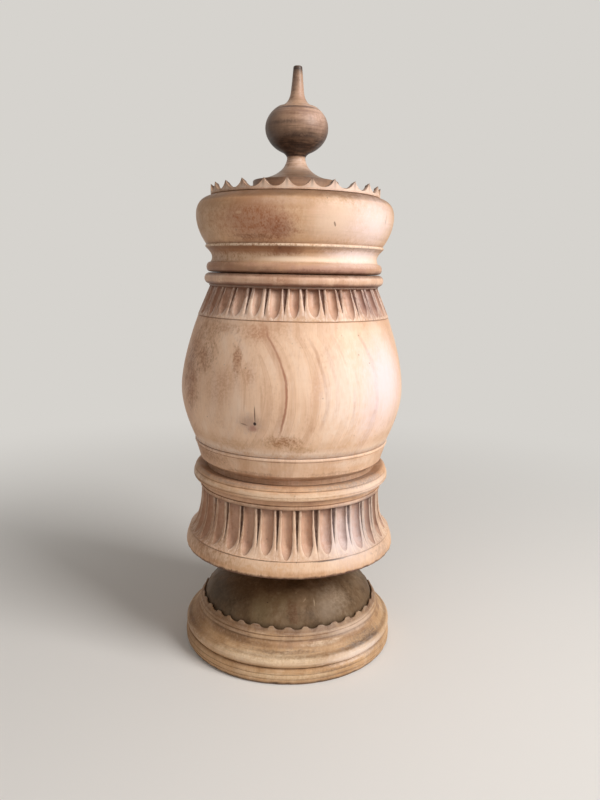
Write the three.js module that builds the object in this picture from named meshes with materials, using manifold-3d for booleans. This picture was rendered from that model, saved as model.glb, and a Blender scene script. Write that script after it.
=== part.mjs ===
// A tall covered cup in turned and carved wood: a hollow bowl on a fluted skirt and a moulded foot,
// closed by a domed lid with a toothed gallery and a spike finial.
// Millimetres, +Z up. The origin is the centre of the foot's underside, and -Y is the front.
import * as THREE from "three";
import { mergeVertices } from "three/addons/utils/BufferGeometryUtils.js";
import Module from "manifold-3d";

const wasm = await Module();
wasm.setup();

// Clearance round each tenon, in each glue line and under the lid.
const FIT = 0.3;

// Foot plinth, from the table up. Its widths step out from the wall of the recess in its top, and
// the scallops cut its crest into a row of small knobs.
// Here and below, a draw is the share of a curve's rise at which its corner lies.
const PLINTH_BAND_HEIGHT = 11;
const PLINTH_BAND_STEP = 2;
const PLINTH_BAND_SWELL = 1;
const PLINTH_TORUS_HEIGHT = 7.4;
const PLINTH_TORUS_SWELL = 2.6;
const PLINTH_SLOPE_HEIGHT = 8.5;
const PLINTH_SLOPE_WIDTH = 6.5;
const PLINTH_SLOPE_DRAW = 0.25;
const PLINTH_LIP_HEIGHT = 4.6;
const PLINTH_LIP_SPREAD = 2.3;
const PLINTH_LIP_WIDTH = 2.1;
const PLINTH_CREST_HEIGHT = 3.4;
const PLINTH_CREST_WIDTH = 1;
const PLINTH_RECESS_DEPTH = 6;
const SCALLOP_COUNT = 36;
const SCALLOP_AZIMUTH = 6;
const SCALLOP_WIDTH = 7.6;
const SCALLOP_REACH = 2.6;
const SCALLOP_DEPTH = 3.6;
const SCALLOP_SIDES = 10;
const SCALLOP_RINGS = 4;

// Pedestal: a plain edge that sits in the plinth, a dome and a neck.
const PEDESTAL_RADIUS = 61.8;
const PEDESTAL_EDGE_HEIGHT = 4.2;
const PEDESTAL_DOME_HEIGHT = 29.5;
const PEDESTAL_NECK_RADIUS = 28;
const PEDESTAL_NECK_HEIGHT = 23.4;
const PEDESTAL_HEAD_FLARE = 3;

// Skirt: a plain rim at the bottom and a hollow curve with flutes above it.
const SKIRT_RIM_RADIUS = 75;
const SKIRT_RIM_HEIGHT = 10.7;
const SKIRT_RIM_WALL = 5;
const SKIRT_RIM_CHAMFER = 1;
const SKIRT_RECESS_DEPTH = 6.2;
const SKIRT_CURVE_FOOT_RADIUS = 72.4;
const SKIRT_CURVE_HEIGHT = 33;
const SKIRT_CURVE_DRAW = 0.16;
const SKIRT_TOP_RADIUS = 64;
const SKIRT_FILLET_HEIGHT = 1.5;
const SKIRT_FILLET_WIDTH = 1;

// Collar ring between the skirt and the bowl, dished towards the bowl's foot.
const COLLAR_FOOT_RADIUS = 64.8;
const COLLAR_FOOT_HEIGHT = 4;
const COLLAR_FOOT_SPREAD = 1;
const COLLAR_RADIUS = 69.5;
const COLLAR_SWELL_HEIGHT = 3.6;
const COLLAR_SLOPE_HEIGHT = 6.1;
const COLLAR_SLOPE_WIDTH = 3.5;
const COLLAR_DISH_DEPTH = 1.3;

// Bowl, from its foot up.
const BOWL_FOOT_RADIUS = 60;
const BOWL_FOOT_HEIGHT = 3;
const BOWL_CONE_UNDERCUT = 4.6;
const BOWL_CONE_UNDERCUT_HEIGHT = 3.6;
const BOWL_CONE_HEIGHT = 10.6;
const BOWL_CONE_SPREAD = 3.2;
const BOWL_BEAD_HEIGHT = 2.5;
const BOWL_BEAD_SWELL = 0.9;
const BELLY_FOOT_RADIUS = 68;
const BELLY_LOWER_HEIGHT = 35.3;
const BELLY_LOWER_DRAW = 0.6;
const BELLY_RADIUS = 77.4;
const BELLY_UPPER_HEIGHT = 49.9;
const BELLY_UPPER_DRAW = 0.37;
const SHOULDER_RADIUS = 66;
const NECK_HEIGHT = 21.3;
const RIM_HEIGHT = 7.5;
const RIM_SWELL = 3.9;
const RIM_WALL = 7.7;
const MOUTH_RADIUS = 50;
const MOUTH_DEPTH = 16;
const BOWL_WALL = 9;
const BOWL_FLOOR = 9;
const BOWL_INNER_FLOOR_RADIUS = 40;
const BOWL_INNER_UPPER_DRAW = 0.43;

// Flutes cut with a round gouge, and the narrow darts cut between them.
const FLUTE_COUNT = 32;
const NECK_FLUTE_AZIMUTH = 1;
const NECK_FLUTE_WIDTH = 7;
const NECK_FLUTE_DEPTH = 2.1;
const NECK_FLUTE_MARGIN = 1.3;
const SKIRT_FLUTE_AZIMUTH = -0.6;
const SKIRT_FLUTE_WIDTH = 8.6;
const SKIRT_FLUTE_DEPTH = 2.4;
const SKIRT_FLUTE_MARGIN = 1.2;
const FLUTE_TIP_LENGTH = 8;
const DART_WIDTH = 2.4;
const DART_DEPTH = 1.4;
const DART_SHARE = 0.8;
const INCISED_LINE_WIDTH = 0.8;
const INCISED_LINE_DEPTH = 0.5;

// Dowel that runs from the plinth up into the bowl.
const DOWEL_RADIUS = 9;
const DOWEL_IN_PLINTH = 12;
const DOWEL_IN_BOWL = 16;

// Lid, from its lower edge up. The spigot hangs in the mouth of the bowl.
const SPIGOT_LENGTH = 6;
const SPIGOT_WALL = 5;
const LID_EDGE_WALL = 13.5;
const LID_EDGE_HEIGHT = 6.8;
const LID_EDGE_SWELL = 2;
const LID_COVE_HEIGHT = 9.6;
const LID_COVE_DEPTH = 3.4;
const LID_BEAD_STEP = 2.2;
const LID_BEAD_HEIGHT = 1.9;
const LID_BEAD_SWELL = 0.9;
const LID_WALL_HEIGHT = 19.7;
const LID_WALL_DRAW = 0.5;
const LID_RADIUS = 67;
const LID_SHOULDER_HEIGHT = 12;
const LID_SHOULDER_DRAW = 0.8;
const LID_LEDGE_WIDTH = 0.1;
const LID_SEAT_HEIGHT = 2.6;
const LID_CROWN_RISE = 1.9;
const LID_FLOOR = 6;
const LID_CEILING_DROP = 16;

// Gallery: a thin ring of pointed teeth, slipped over the seat on the lid.
const GALLERY_RADIUS = 57.2;
const GALLERY_WALL = 2.2;
const GALLERY_HEIGHT = 7.2;
const TOOTH_COUNT = 24;
const TOOTH_AZIMUTH = -4.5;
const TOOTH_HEIGHT = 5.6;
const TOOTH_TIP = 0.5;

// Finial: disc, flared stem, ball and spike in one, with a tenon below.
const TENON_RADIUS = 8;
const TENON_LENGTH = 10;
const DISC_RADIUS = 29;
const DISC_HEIGHT = 5.7;
const DISC_CHAMFER = 0.4;
const STEM_HEIGHT = 14.9;
const STEM_RADIUS = 6.1;
const STEM_CORNER_RADIUS = 8.1;
const STEM_DRAW = 0.2;
const BALL_RADIUS = 21;
const BALL_LOWER_HEIGHT = 17;
const BALL_UPPER_HEIGHT = 16.9;
const BALL_FOOT_RADIUS = 9;
const BALL_FOOT_RISE = 3.9;
const SPIKE_FOOT_RADIUS = 13;
const SPIKE_FLARE_HEIGHT = 11.3;
const SPIKE_FLARE_RADIUS = 4.8;
const SPIKE_FLARE_DRAW = 0.125;
const SPIKE_RADIUS = 4.2;
const SPIKE_HEIGHT = 14.5;
const SPIKE_TIP_RADIUS = 2.8;

// Facets round wide pieces, round the finial and plain hollows, and round the dowel. Surfaces that
// fit one another have the same count, so that their clearance is the same all round.
const FINE = 40;
const COARSE = 32;
const NARROW = 16;
const GOUGE_SIDES = 9;

// How far a cutter runs past the face that it opens.
const OVERRUN = 1;

const woods = {
  plinth: new THREE.MeshStandardMaterial({ color: 0xb8957a, roughness: 0.72, metalness: 0 }),
  pedestal: new THREE.MeshStandardMaterial({ color: 0x5d4d3c, roughness: 0.62, metalness: 0 }),
  skirt: new THREE.MeshStandardMaterial({ color: 0xcfa88c, roughness: 0.74, metalness: 0 }),
  collar: new THREE.MeshStandardMaterial({ color: 0xc39c7c, roughness: 0.7, metalness: 0 }),
  bowl: new THREE.MeshStandardMaterial({ color: 0xdcb595, roughness: 0.68, metalness: 0 }),
  dowel: new THREE.MeshStandardMaterial({ color: 0xd8bb92, roughness: 0.8, metalness: 0 }),
  lid: new THREE.MeshStandardMaterial({ color: 0xc79d78, roughness: 0.68, metalness: 0 }),
  gallery: new THREE.MeshStandardMaterial({ color: 0xcba791, roughness: 0.74, metalness: 0 }),
  finial: new THREE.MeshStandardMaterial({ color: 0x7c5c4c, roughness: 0.58, metalness: 0 }),
};

// The outline of a turned piece, from the bottom up: radius across and height up.
class Outline {
  constructor(radius, height) {
    this.points = [new THREE.Vector2(radius, height)];
  }

  get end() {
    return this.points[this.points.length - 1];
  }

  follow(curve, steps) {
    this.points.push(...curve.getPoints(steps).slice(1));
    return this;
  }

  // A straight stretch to a radius, by its rise.
  step(radius, rise) {
    this.points.push(new THREE.Vector2(radius, this.end.y + rise));
    return this;
  }

  // A smooth curve to a radius, by its rise, drawn towards the corner on the way.
  sweep(cornerRadius, cornerRise, radius, rise, steps) {
    const { x, y } = this.end;
    const corner = new THREE.Vector2(cornerRadius, y + cornerRise);
    const end = new THREE.Vector2(radius, y + rise);
    return this.follow(new THREE.QuadraticBezierCurve(new THREE.Vector2(x, y), corner, end), steps);
  }

  // A half round that stands out by a swell and comes back to the same radius.
  bead(swell, rise, steps) {
    const { x, y } = this.end;
    const half = rise / 2;
    const round = new THREE.EllipseCurve(x, y + half, swell, half, -Math.PI / 2, Math.PI / 2);
    return this.follow(round, steps);
  }

  // A fine V line cut into the surface with the corner of a chisel.
  incise(width, depth) {
    const { x } = this.end;
    return this.step(x - depth, width / 2).step(x, width / 2);
  }

  // The last stretch, back to the axis.
  close() {
    return this.step(0, 0);
  }
}

// A closed geometry as a solid that can be cut.
function solidOf(geometry) {
  geometry.deleteAttribute("normal");
  geometry.deleteAttribute("uv");
  const merged = mergeVertices(geometry, 1e-4);
  const corners = merged.index.array;
  const triangles = [];
  for (let i = 0; i < corners.length; i += 3) {
    const [a, b, c] = corners.slice(i, i + 3);
    if (a !== b && b !== c && c !== a) triangles.push(a, b, c);
  }
  const vertProperties = merged.getAttribute("position").array;
  return new wasm.Manifold(
    new wasm.Mesh({ numProp: 3, vertProperties, triVerts: new Uint32Array(triangles) }),
  );
}

// A named mesh from a solid.
function meshOf(name, solid, material) {
  const { vertProperties, triVerts } = solid.getMesh();
  const geometry = new THREE.BufferGeometry();
  geometry.setAttribute("position", new THREE.BufferAttribute(vertProperties, 3));
  geometry.setIndex(new THREE.BufferAttribute(triVerts, 1));
  geometry.computeVertexNormals();
  const mesh = new THREE.Mesh(geometry, material);
  mesh.name = name;
  return mesh;
}

// A turned solid about the Z axis. Its facets start at an azimuth, in degrees from the front.
function turn(outline, facets, azimuth = 0) {
  const start = THREE.MathUtils.degToRad(azimuth);
  const lathe = new THREE.LatheGeometry(outline.points, facets, start);
  return solidOf(lathe.rotateX(Math.PI / 2));
}

// A plain round cutter about the Z axis.
function plug(radius, low, high, facets) {
  return turn(new Outline(0, low).step(radius, 0).step(radius, high - low).close(), facets);
}

// Cuts copies of a tool that is drawn at the front into a solid, evenly round the Z axis.
function cutRound(solid, tool, count, azimuth) {
  let cut = solid;
  for (let i = 0; i < count; i += 1) {
    const angle = THREE.MathUtils.degToRad(azimuth + (360 * i) / count);
    const turned = tool.clone().applyMatrix4(new THREE.Matrix4().makeRotationZ(angle));
    cut = cut.subtract(solidOf(turned));
  }
  return cut;
}

// The radius of the circle whose segment has this width and depth.
function gougeRadius(width, depth) {
  return (width * width / 4 + depth * depth) / (2 * depth);
}

// Bends a tool that is drawn along +Y onto a line of the surface. The line is given as radius and
// height, and the tool's own Z is its height over the surface.
function bendOnto(tool, line, length) {
  const place = tool.getAttribute("position");
  for (let i = 0; i < place.count; i += 1) {
    const along = place.getY(i) / length;
    const share = THREE.MathUtils.clamp(along, 0, 1);
    const point = line.getPointAt(share);
    const tangent = line.getTangentAt(share);
    const spare = (along - share) * length;
    const over = place.getZ(i);
    const radius = point.x + tangent.x * spare + tangent.y * over;
    const height = point.y + tangent.y * spare - tangent.x * over;
    place.setXYZ(i, place.getX(i), -radius, height);
  }
  return tool;
}

// A round gouge's cut along a line of the surface, pointed at its lower end.
function fluteTool(line, width, depth, steps) {
  const length = line.getLength();
  const radius = gougeRadius(width, depth);
  const tip = Math.min(FLUTE_TIP_LENGTH, length / 2);
  const side = Math.PI / GOUGE_SIDES;
  const outer = radius / Math.cos(side);
  const bullet = new Outline(0, 0).sweep(outer, tip / 4, outer, tip, 2);
  for (let i = 0; i < steps; i += 1) bullet.step(outer, (length - tip) / steps);
  bullet.close();
  const tool = new THREE.LatheGeometry(bullet.points, GOUGE_SIDES, Math.PI - side);
  tool.translate(0, 0, radius - depth);
  return bendOnto(tool, line, length);
}

// A V cut along a line of the surface, wide at the top and pointed below.
function dartTool(line, steps) {
  const length = line.getLength();
  const reach = length * DART_SHARE;
  const wedge = new Outline(0, length - reach);
  for (let i = 1; i <= steps; i += 1) wedge.step(i / steps, reach / steps);
  wedge.close();
  const tool = new THREE.LatheGeometry(wedge.points, 3, Math.PI);
  tool.scale(DART_WIDTH / Math.sqrt(3), 1, DART_DEPTH);
  return bendOnto(tool, line, length);
}

// The heights at which the pieces of the cup stand.
const lipTop = PLINTH_BAND_HEIGHT + PLINTH_TORUS_HEIGHT + PLINTH_SLOPE_HEIGHT + PLINTH_LIP_HEIGHT;
const crestTop = lipTop + PLINTH_CREST_HEIGHT;
const plinthSeat = lipTop - PLINTH_RECESS_DEPTH;
const pedestalBase = plinthSeat + FIT;
const domeAngle = Math.acos(Math.min(1, PEDESTAL_NECK_RADIUS / PEDESTAL_RADIUS));
const domeRise = PEDESTAL_DOME_HEIGHT * Math.sin(domeAngle);
const pedestalHeight = PEDESTAL_EDGE_HEIGHT + domeRise + PEDESTAL_NECK_HEIGHT;
const skirtBase = pedestalBase + pedestalHeight + FIT - SKIRT_RECESS_DEPTH;
const skirtHeight = SKIRT_RIM_HEIGHT + SKIRT_CURVE_HEIGHT + SKIRT_FILLET_HEIGHT;
const collarBase = skirtBase + skirtHeight + FIT;
const collarHeight = COLLAR_FOOT_HEIGHT + COLLAR_SWELL_HEIGHT + COLLAR_SLOPE_HEIGHT;
const collarSeat = collarHeight - COLLAR_DISH_DEPTH;
const bowlBase = collarBase + collarSeat + FIT;
const coneTop = BOWL_FOOT_HEIGHT + BOWL_CONE_UNDERCUT_HEIGHT + BOWL_CONE_HEIGHT;
const bellyFoot = coneTop + BOWL_BEAD_HEIGHT;
const bellyHeight = bellyFoot + BELLY_LOWER_HEIGHT;
const shoulderHeight = bellyHeight + BELLY_UPPER_HEIGHT;
const neckTop = shoulderHeight + NECK_HEIGHT;
const bowlHeight = neckTop + RIM_HEIGHT;
const lidBase = bowlBase + bowlHeight + FIT;
const bore = DOWEL_RADIUS + FIT;
const dowelBase = plinthSeat - DOWEL_IN_PLINTH;

// The same over the lower edge of the lid.
const lidWallTop = LID_EDGE_HEIGHT + LID_COVE_HEIGHT + LID_BEAD_HEIGHT + LID_WALL_HEIGHT;
const lidLedge = lidWallTop + LID_SHOULDER_HEIGHT;
const finialBase = lidLedge + LID_SEAT_HEIGHT + LID_CROWN_RISE + FIT;

function footPlinth() {
  const recess = PEDESTAL_RADIUS + FIT;
  const lip = recess + PLINTH_LIP_WIDTH;
  const lipFoot = lip + PLINTH_LIP_SPREAD;
  const waist = lipFoot + PLINTH_SLOPE_WIDTH;
  const slopeCorner = PLINTH_SLOPE_HEIGHT * PLINTH_SLOPE_DRAW;
  const outline = new Outline(0, 0)
    .step(waist + PLINTH_BAND_STEP, 0)
    .bead(PLINTH_BAND_SWELL, PLINTH_BAND_HEIGHT, 3)
    .step(waist, 0)
    .bead(PLINTH_TORUS_SWELL, PLINTH_TORUS_HEIGHT, 4)
    .sweep(waist - PLINTH_SLOPE_WIDTH / 2, slopeCorner, lipFoot, PLINTH_SLOPE_HEIGHT, 2)
    .step(lip, PLINTH_LIP_HEIGHT)
    .step(recess + PLINTH_CREST_WIDTH, PLINTH_CREST_HEIGHT)
    .close();
  const blank = turn(outline, FINE)
    .subtract(plug(recess, plinthSeat, crestTop + OVERRUN, FINE))
    .subtract(plug(bore, dowelBase - FIT, lipTop, NARROW));
  const round = gougeRadius(SCALLOP_WIDTH, SCALLOP_REACH);
  const scoop = new THREE.SphereGeometry(1, SCALLOP_SIDES, SCALLOP_RINGS)
    .rotateX(Math.PI / 2)
    .scale(round, round, SCALLOP_DEPTH)
    .translate(0, round - recess - SCALLOP_REACH, crestTop);
  return cutRound(blank, scoop, SCALLOP_COUNT, SCALLOP_AZIMUTH);
}

function pedestal() {
  const edge = PEDESTAL_EDGE_HEIGHT;
  const dome = new THREE.EllipseCurve(0, edge, PEDESTAL_RADIUS, PEDESTAL_DOME_HEIGHT, 0, domeAngle);
  const head = PEDESTAL_NECK_RADIUS + PEDESTAL_HEAD_FLARE;
  const outline = new Outline(0, 0)
    .step(PEDESTAL_RADIUS, 0)
    .step(PEDESTAL_RADIUS, edge)
    .follow(dome, 6)
    .sweep(PEDESTAL_NECK_RADIUS, PEDESTAL_NECK_HEIGHT / 2, head, PEDESTAL_NECK_HEIGHT, 2)
    .close();
  return turn(outline, FINE).subtract(plug(bore, -OVERRUN, pedestalHeight + OVERRUN, NARROW));
}

function skirt() {
  const rimRise = SKIRT_RIM_HEIGHT - SKIRT_RIM_CHAMFER;
  const outline = new Outline(0, 0)
    .step(SKIRT_RIM_RADIUS - SKIRT_RIM_CHAMFER, 0)
    .step(SKIRT_RIM_RADIUS, SKIRT_RIM_CHAMFER)
    .sweep(SKIRT_RIM_RADIUS, rimRise / 2, SKIRT_CURVE_FOOT_RADIUS, rimRise, 2)
    .incise(INCISED_LINE_WIDTH, INCISED_LINE_DEPTH);
  const low = outline.end.clone();
  const rise = SKIRT_RIM_HEIGHT + SKIRT_CURVE_HEIGHT - low.y;
  outline.sweep(SKIRT_TOP_RADIUS, rise * SKIRT_CURVE_DRAW, SKIRT_TOP_RADIUS, rise, 3);
  const high = outline.end.clone();
  outline
    .step(SKIRT_TOP_RADIUS + SKIRT_FILLET_WIDTH, 0)
    .step(SKIRT_TOP_RADIUS + SKIRT_FILLET_WIDTH, SKIRT_FILLET_HEIGHT)
    .close();
  const recessRadius = SKIRT_RIM_RADIUS - SKIRT_RIM_WALL;
  const recess = new Outline(0, -OVERRUN)
    .step(recessRadius, 0)
    .step(recessRadius, OVERRUN)
    .step(recessRadius - SKIRT_RECESS_DEPTH, SKIRT_RECESS_DEPTH)
    .close();
  const blank = turn(outline, FINE)
    .subtract(turn(recess, COARSE))
    .subtract(plug(bore, 0, skirtHeight + OVERRUN, NARROW));
  const corner = new THREE.Vector2(SKIRT_TOP_RADIUS, low.y + rise * SKIRT_CURVE_DRAW);
  high.y -= SKIRT_FLUTE_MARGIN;
  const line = new THREE.QuadraticBezierCurve(low, corner, high);
  const flute = fluteTool(line, SKIRT_FLUTE_WIDTH, SKIRT_FLUTE_DEPTH, 2);
  const dart = dartTool(line, 2);
  const fluted = cutRound(blank, flute, FLUTE_COUNT, SKIRT_FLUTE_AZIMUTH);
  return cutRound(fluted, dart, FLUTE_COUNT, SKIRT_FLUTE_AZIMUTH + 180 / FLUTE_COUNT);
}

function collarRing() {
  const lip = COLLAR_RADIUS - COLLAR_SLOPE_WIDTH;
  const outline = new Outline(0, 0)
    .step(COLLAR_FOOT_RADIUS, 0)
    .step(COLLAR_FOOT_RADIUS + COLLAR_FOOT_SPREAD, COLLAR_FOOT_HEIGHT)
    .sweep(COLLAR_RADIUS, 0, COLLAR_RADIUS, COLLAR_SWELL_HEIGHT, 3)
    .sweep(COLLAR_RADIUS, COLLAR_SLOPE_HEIGHT / 2, lip, COLLAR_SLOPE_HEIGHT, 3)
    .step(BOWL_FOOT_RADIUS + 2 * FIT, -COLLAR_DISH_DEPTH)
    .close();
  return turn(outline, FINE).subtract(plug(bore, -OVERRUN, collarHeight, NARROW));
}

function bowl() {
  const neck = MOUTH_RADIUS + RIM_WALL;
  const cone = BOWL_FOOT_RADIUS + BOWL_CONE_UNDERCUT;
  const upperCorner = BELLY_UPPER_HEIGHT * BELLY_UPPER_DRAW;
  const outline = new Outline(0, 0)
    .step(BOWL_FOOT_RADIUS, 0)
    .step(BOWL_FOOT_RADIUS, BOWL_FOOT_HEIGHT)
    .step(cone, BOWL_CONE_UNDERCUT_HEIGHT)
    .step(cone + BOWL_CONE_SPREAD, BOWL_CONE_HEIGHT)
    .bead(BOWL_BEAD_SWELL, BOWL_BEAD_HEIGHT, 3)
    .step(BELLY_FOOT_RADIUS, 0)
    .sweep(BELLY_RADIUS, BELLY_LOWER_HEIGHT * BELLY_LOWER_DRAW, BELLY_RADIUS, BELLY_LOWER_HEIGHT, 4)
    .sweep(BELLY_RADIUS, upperCorner, SHOULDER_RADIUS, BELLY_UPPER_HEIGHT, 4)
    .incise(INCISED_LINE_WIDTH, INCISED_LINE_DEPTH);
  const low = outline.end.clone();
  outline
    .step(neck, neckTop - low.y)
    .bead(RIM_SWELL, RIM_HEIGHT, 5)
    .close();
  const blank = turn(outline, FINE)
    .subtract(turn(bowlCavity(), FINE))
    .subtract(plug(bore, -OVERRUN, DOWEL_IN_BOWL, NARROW));
  const slope = (neck - low.x) / (neckTop - low.y);
  const top = neckTop - NECK_FLUTE_MARGIN;
  const high = new THREE.Vector2(neck - slope * NECK_FLUTE_MARGIN, top);
  const line = new THREE.LineCurve(low, high);
  const flute = fluteTool(line, NECK_FLUTE_WIDTH, NECK_FLUTE_DEPTH, 1);
  const dart = dartTool(line, 1);
  const fluted = cutRound(blank, flute, FLUTE_COUNT, NECK_FLUTE_AZIMUTH);
  return cutRound(fluted, dart, FLUTE_COUNT, NECK_FLUTE_AZIMUTH + 180 / FLUTE_COUNT);
}

// The hollow of the bowl, open at the mouth.
function bowlCavity() {
  const floor = DOWEL_IN_BOWL + BOWL_FLOOR;
  const belly = BELLY_RADIUS - BOWL_WALL;
  const lowerRise = bellyHeight - floor;
  const upperRise = bowlHeight - MOUTH_DEPTH - bellyHeight;
  return new Outline(0, floor)
    .step(BOWL_INNER_FLOOR_RADIUS, 0)
    .sweep(belly, 0, belly, lowerRise, 4)
    .sweep(belly, upperRise * BOWL_INNER_UPPER_DRAW, MOUTH_RADIUS, upperRise, 4)
    .step(MOUTH_RADIUS, MOUTH_DEPTH + OVERRUN)
    .close();
}

function centreDowel() {
  const top = bowlBase + DOWEL_IN_BOWL - FIT;
  return plug(DOWEL_RADIUS, dowelBase, top, NARROW);
}

function lidShell() {
  const spigot = MOUTH_RADIUS - FIT;
  const hollow = spigot - SPIGOT_WALL;
  const edge = hollow + LID_EDGE_WALL;
  const beadFoot = edge + LID_BEAD_STEP;
  const ledge = GALLERY_RADIUS + LID_LEDGE_WIDTH;
  const seat = GALLERY_RADIUS - GALLERY_WALL - FIT;
  const outline = new Outline(0, -SPIGOT_LENGTH)
    .step(spigot, 0)
    .step(spigot, SPIGOT_LENGTH)
    .step(edge, 0)
    .bead(LID_EDGE_SWELL, LID_EDGE_HEIGHT, 4)
    .sweep(edge - LID_COVE_DEPTH, LID_COVE_HEIGHT / 2, beadFoot, LID_COVE_HEIGHT, 3)
    .bead(LID_BEAD_SWELL, LID_BEAD_HEIGHT, 3)
    .sweep(LID_RADIUS, LID_WALL_HEIGHT * LID_WALL_DRAW, LID_RADIUS, LID_WALL_HEIGHT, 4)
    .sweep(LID_RADIUS, LID_SHOULDER_HEIGHT * LID_SHOULDER_DRAW, ledge, LID_SHOULDER_HEIGHT, 4)
    .step(seat, 0)
    .step(seat, LID_SEAT_HEIGHT)
    .step(DISC_RADIUS, LID_CROWN_RISE)
    .close();
  const socket = finialBase - TENON_LENGTH - FIT;
  return turn(outline, FINE)
    .subtract(turn(lidCavity(hollow, socket - LID_FLOOR), COARSE))
    .subtract(plug(TENON_RADIUS + FIT, socket, finialBase + OVERRUN, COARSE));
}

// The hollow of the lid, open below, with a rounded ceiling.
function lidCavity(radius, ceiling) {
  const mouth = -SPIGOT_LENGTH - OVERRUN;
  const wall = ceiling - LID_CEILING_DROP - mouth;
  return new Outline(0, mouth)
    .step(radius, 0)
    .step(radius, wall)
    .sweep(radius, LID_CEILING_DROP, radius / 2, LID_CEILING_DROP, 4)
    .close();
}

function galleryRing() {
  const inner = GALLERY_RADIUS - GALLERY_WALL;
  const facets = 2 * TOOTH_COUNT;
  const ring = plug(GALLERY_RADIUS, 0, GALLERY_HEIGHT, facets).subtract(
    plug(inner, -OVERRUN, GALLERY_HEIGHT + OVERRUN, facets),
  );
  const pitch = 2 * GALLERY_RADIUS * Math.sin(Math.PI / TOOTH_COUNT);
  const round = gougeRadius(pitch - TOOTH_TIP, TOOTH_HEIGHT);
  const gouge = new THREE.CylinderGeometry(round, round, 4 * GALLERY_WALL, NARROW)
    .translate(0, -inner, 0)
    .translate(0, 0, GALLERY_HEIGHT - TOOTH_HEIGHT + round);
  return cutRound(ring, gouge, TOOTH_COUNT, TOOTH_AZIMUTH + 180 / TOOTH_COUNT);
}

function finial() {
  const shoulder = DISC_RADIUS - DISC_CHAMFER;
  const flareCorner = SPIKE_FLARE_HEIGHT * SPIKE_FLARE_DRAW;
  const ballHeight = DISC_HEIGHT + DISC_CHAMFER + STEM_HEIGHT + BALL_FOOT_RISE;
  const footAngle = -Math.acos(Math.min(1, BALL_FOOT_RADIUS / BALL_RADIUS));
  const topAngle = Math.acos(Math.min(1, SPIKE_FOOT_RADIUS / BALL_RADIUS));
  const centre = ballHeight - BALL_LOWER_HEIGHT * Math.sin(footAngle);
  const lower = new THREE.EllipseCurve(0, centre, BALL_RADIUS, BALL_LOWER_HEIGHT, footAngle, 0);
  const upper = new THREE.EllipseCurve(0, centre, BALL_RADIUS, BALL_UPPER_HEIGHT, 0, topAngle);
  const outline = new Outline(0, -TENON_LENGTH)
    .step(TENON_RADIUS, 0)
    .step(TENON_RADIUS, TENON_LENGTH)
    .step(DISC_RADIUS, 0)
    .step(DISC_RADIUS, DISC_HEIGHT)
    .step(shoulder, DISC_CHAMFER)
    .sweep(STEM_CORNER_RADIUS, STEM_HEIGHT * STEM_DRAW, STEM_RADIUS, STEM_HEIGHT, 5)
    .sweep(STEM_RADIUS, BALL_FOOT_RISE / 2, BALL_FOOT_RADIUS, BALL_FOOT_RISE, 2)
    .follow(lower, 4)
    .follow(upper, 4)
    .sweep(SPIKE_FLARE_RADIUS, flareCorner, SPIKE_RADIUS, SPIKE_FLARE_HEIGHT, 4)
    .step(SPIKE_TIP_RADIUS, SPIKE_HEIGHT)
    .close();
  return turn(outline, COARSE);
}

// Puts a piece at its height over the origin of its group.
function stand(group, name, solid, material, height) {
  const mesh = meshOf(name, solid, material);
  mesh.position.z = height;
  group.add(mesh);
}

const cup = new THREE.Group();
stand(cup, "foot_plinth", footPlinth(), woods.plinth, 0);
stand(cup, "pedestal", pedestal(), woods.pedestal, pedestalBase);
stand(cup, "skirt", skirt(), woods.skirt, skirtBase);
stand(cup, "collar_ring", collarRing(), woods.collar, collarBase);
stand(cup, "bowl", bowl(), woods.bowl, bowlBase);
stand(cup, "centre_dowel", centreDowel(), woods.dowel, 0);

const lid = new THREE.Group();
lid.position.z = lidBase;
stand(lid, "lid_shell", lidShell(), woods.lid, 0);
stand(lid, "gallery_ring", galleryRing(), woods.gallery, lidLedge + FIT);
stand(lid, "finial", finial(), woods.finial, finialBase);

const friendshipCup = new THREE.Group();
friendshipCup.add(cup, lid);

export default friendshipCup;
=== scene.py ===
"""Looks of a turned and carved wooden friendship cup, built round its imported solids.

Sizes are in millimetres until a mesh is finished and scaled to metres. +Z is up and -Y is the
front. An azimuth is counted in degrees from the front, and grows towards +X.
"""

from __future__ import annotations

import logging
import math
import random
from abc import ABC, abstractmethod
from dataclasses import dataclass
from enum import Enum
from functools import partial
from typing import Callable, NamedTuple

import bmesh
import bpy
from mathutils import Euler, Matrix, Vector, noise


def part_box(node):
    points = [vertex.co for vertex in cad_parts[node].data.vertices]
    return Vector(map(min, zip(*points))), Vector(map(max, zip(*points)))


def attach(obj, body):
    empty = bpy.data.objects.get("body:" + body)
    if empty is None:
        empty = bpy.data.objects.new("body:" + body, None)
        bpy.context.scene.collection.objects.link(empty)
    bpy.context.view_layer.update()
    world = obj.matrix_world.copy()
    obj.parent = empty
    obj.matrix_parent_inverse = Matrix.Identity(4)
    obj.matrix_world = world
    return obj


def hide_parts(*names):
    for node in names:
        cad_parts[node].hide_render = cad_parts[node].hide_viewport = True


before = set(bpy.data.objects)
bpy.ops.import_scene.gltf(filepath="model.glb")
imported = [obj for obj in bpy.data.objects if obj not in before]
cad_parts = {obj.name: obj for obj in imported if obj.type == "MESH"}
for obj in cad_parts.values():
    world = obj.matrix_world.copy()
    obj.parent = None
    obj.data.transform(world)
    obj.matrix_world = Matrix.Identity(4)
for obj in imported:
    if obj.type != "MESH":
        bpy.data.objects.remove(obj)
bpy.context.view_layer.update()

log = logging.getLogger("friendship_cup")

MM = 0.001

# A turned piece is left as it is inside this radius, where the lathe holds it.
CORE = 1.0
# The spin leaves its last column on its first, and vertices nearer than this are merged.
SEAM = 2e-3
# Degrees between two faces past which the edge between them stays crisp.
CRISP = 34.0


class Layer(Enum):
    """What a vertex remembers of how its place on the wood was worked and worn, and of the shade
    painted on it.
    """

    ROW = "row"
    # Dirt, and in places painted shade.
    GRIME_AND_SHADE = "grime"
    CUT = "cut"
    WEAR = "wear"


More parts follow.
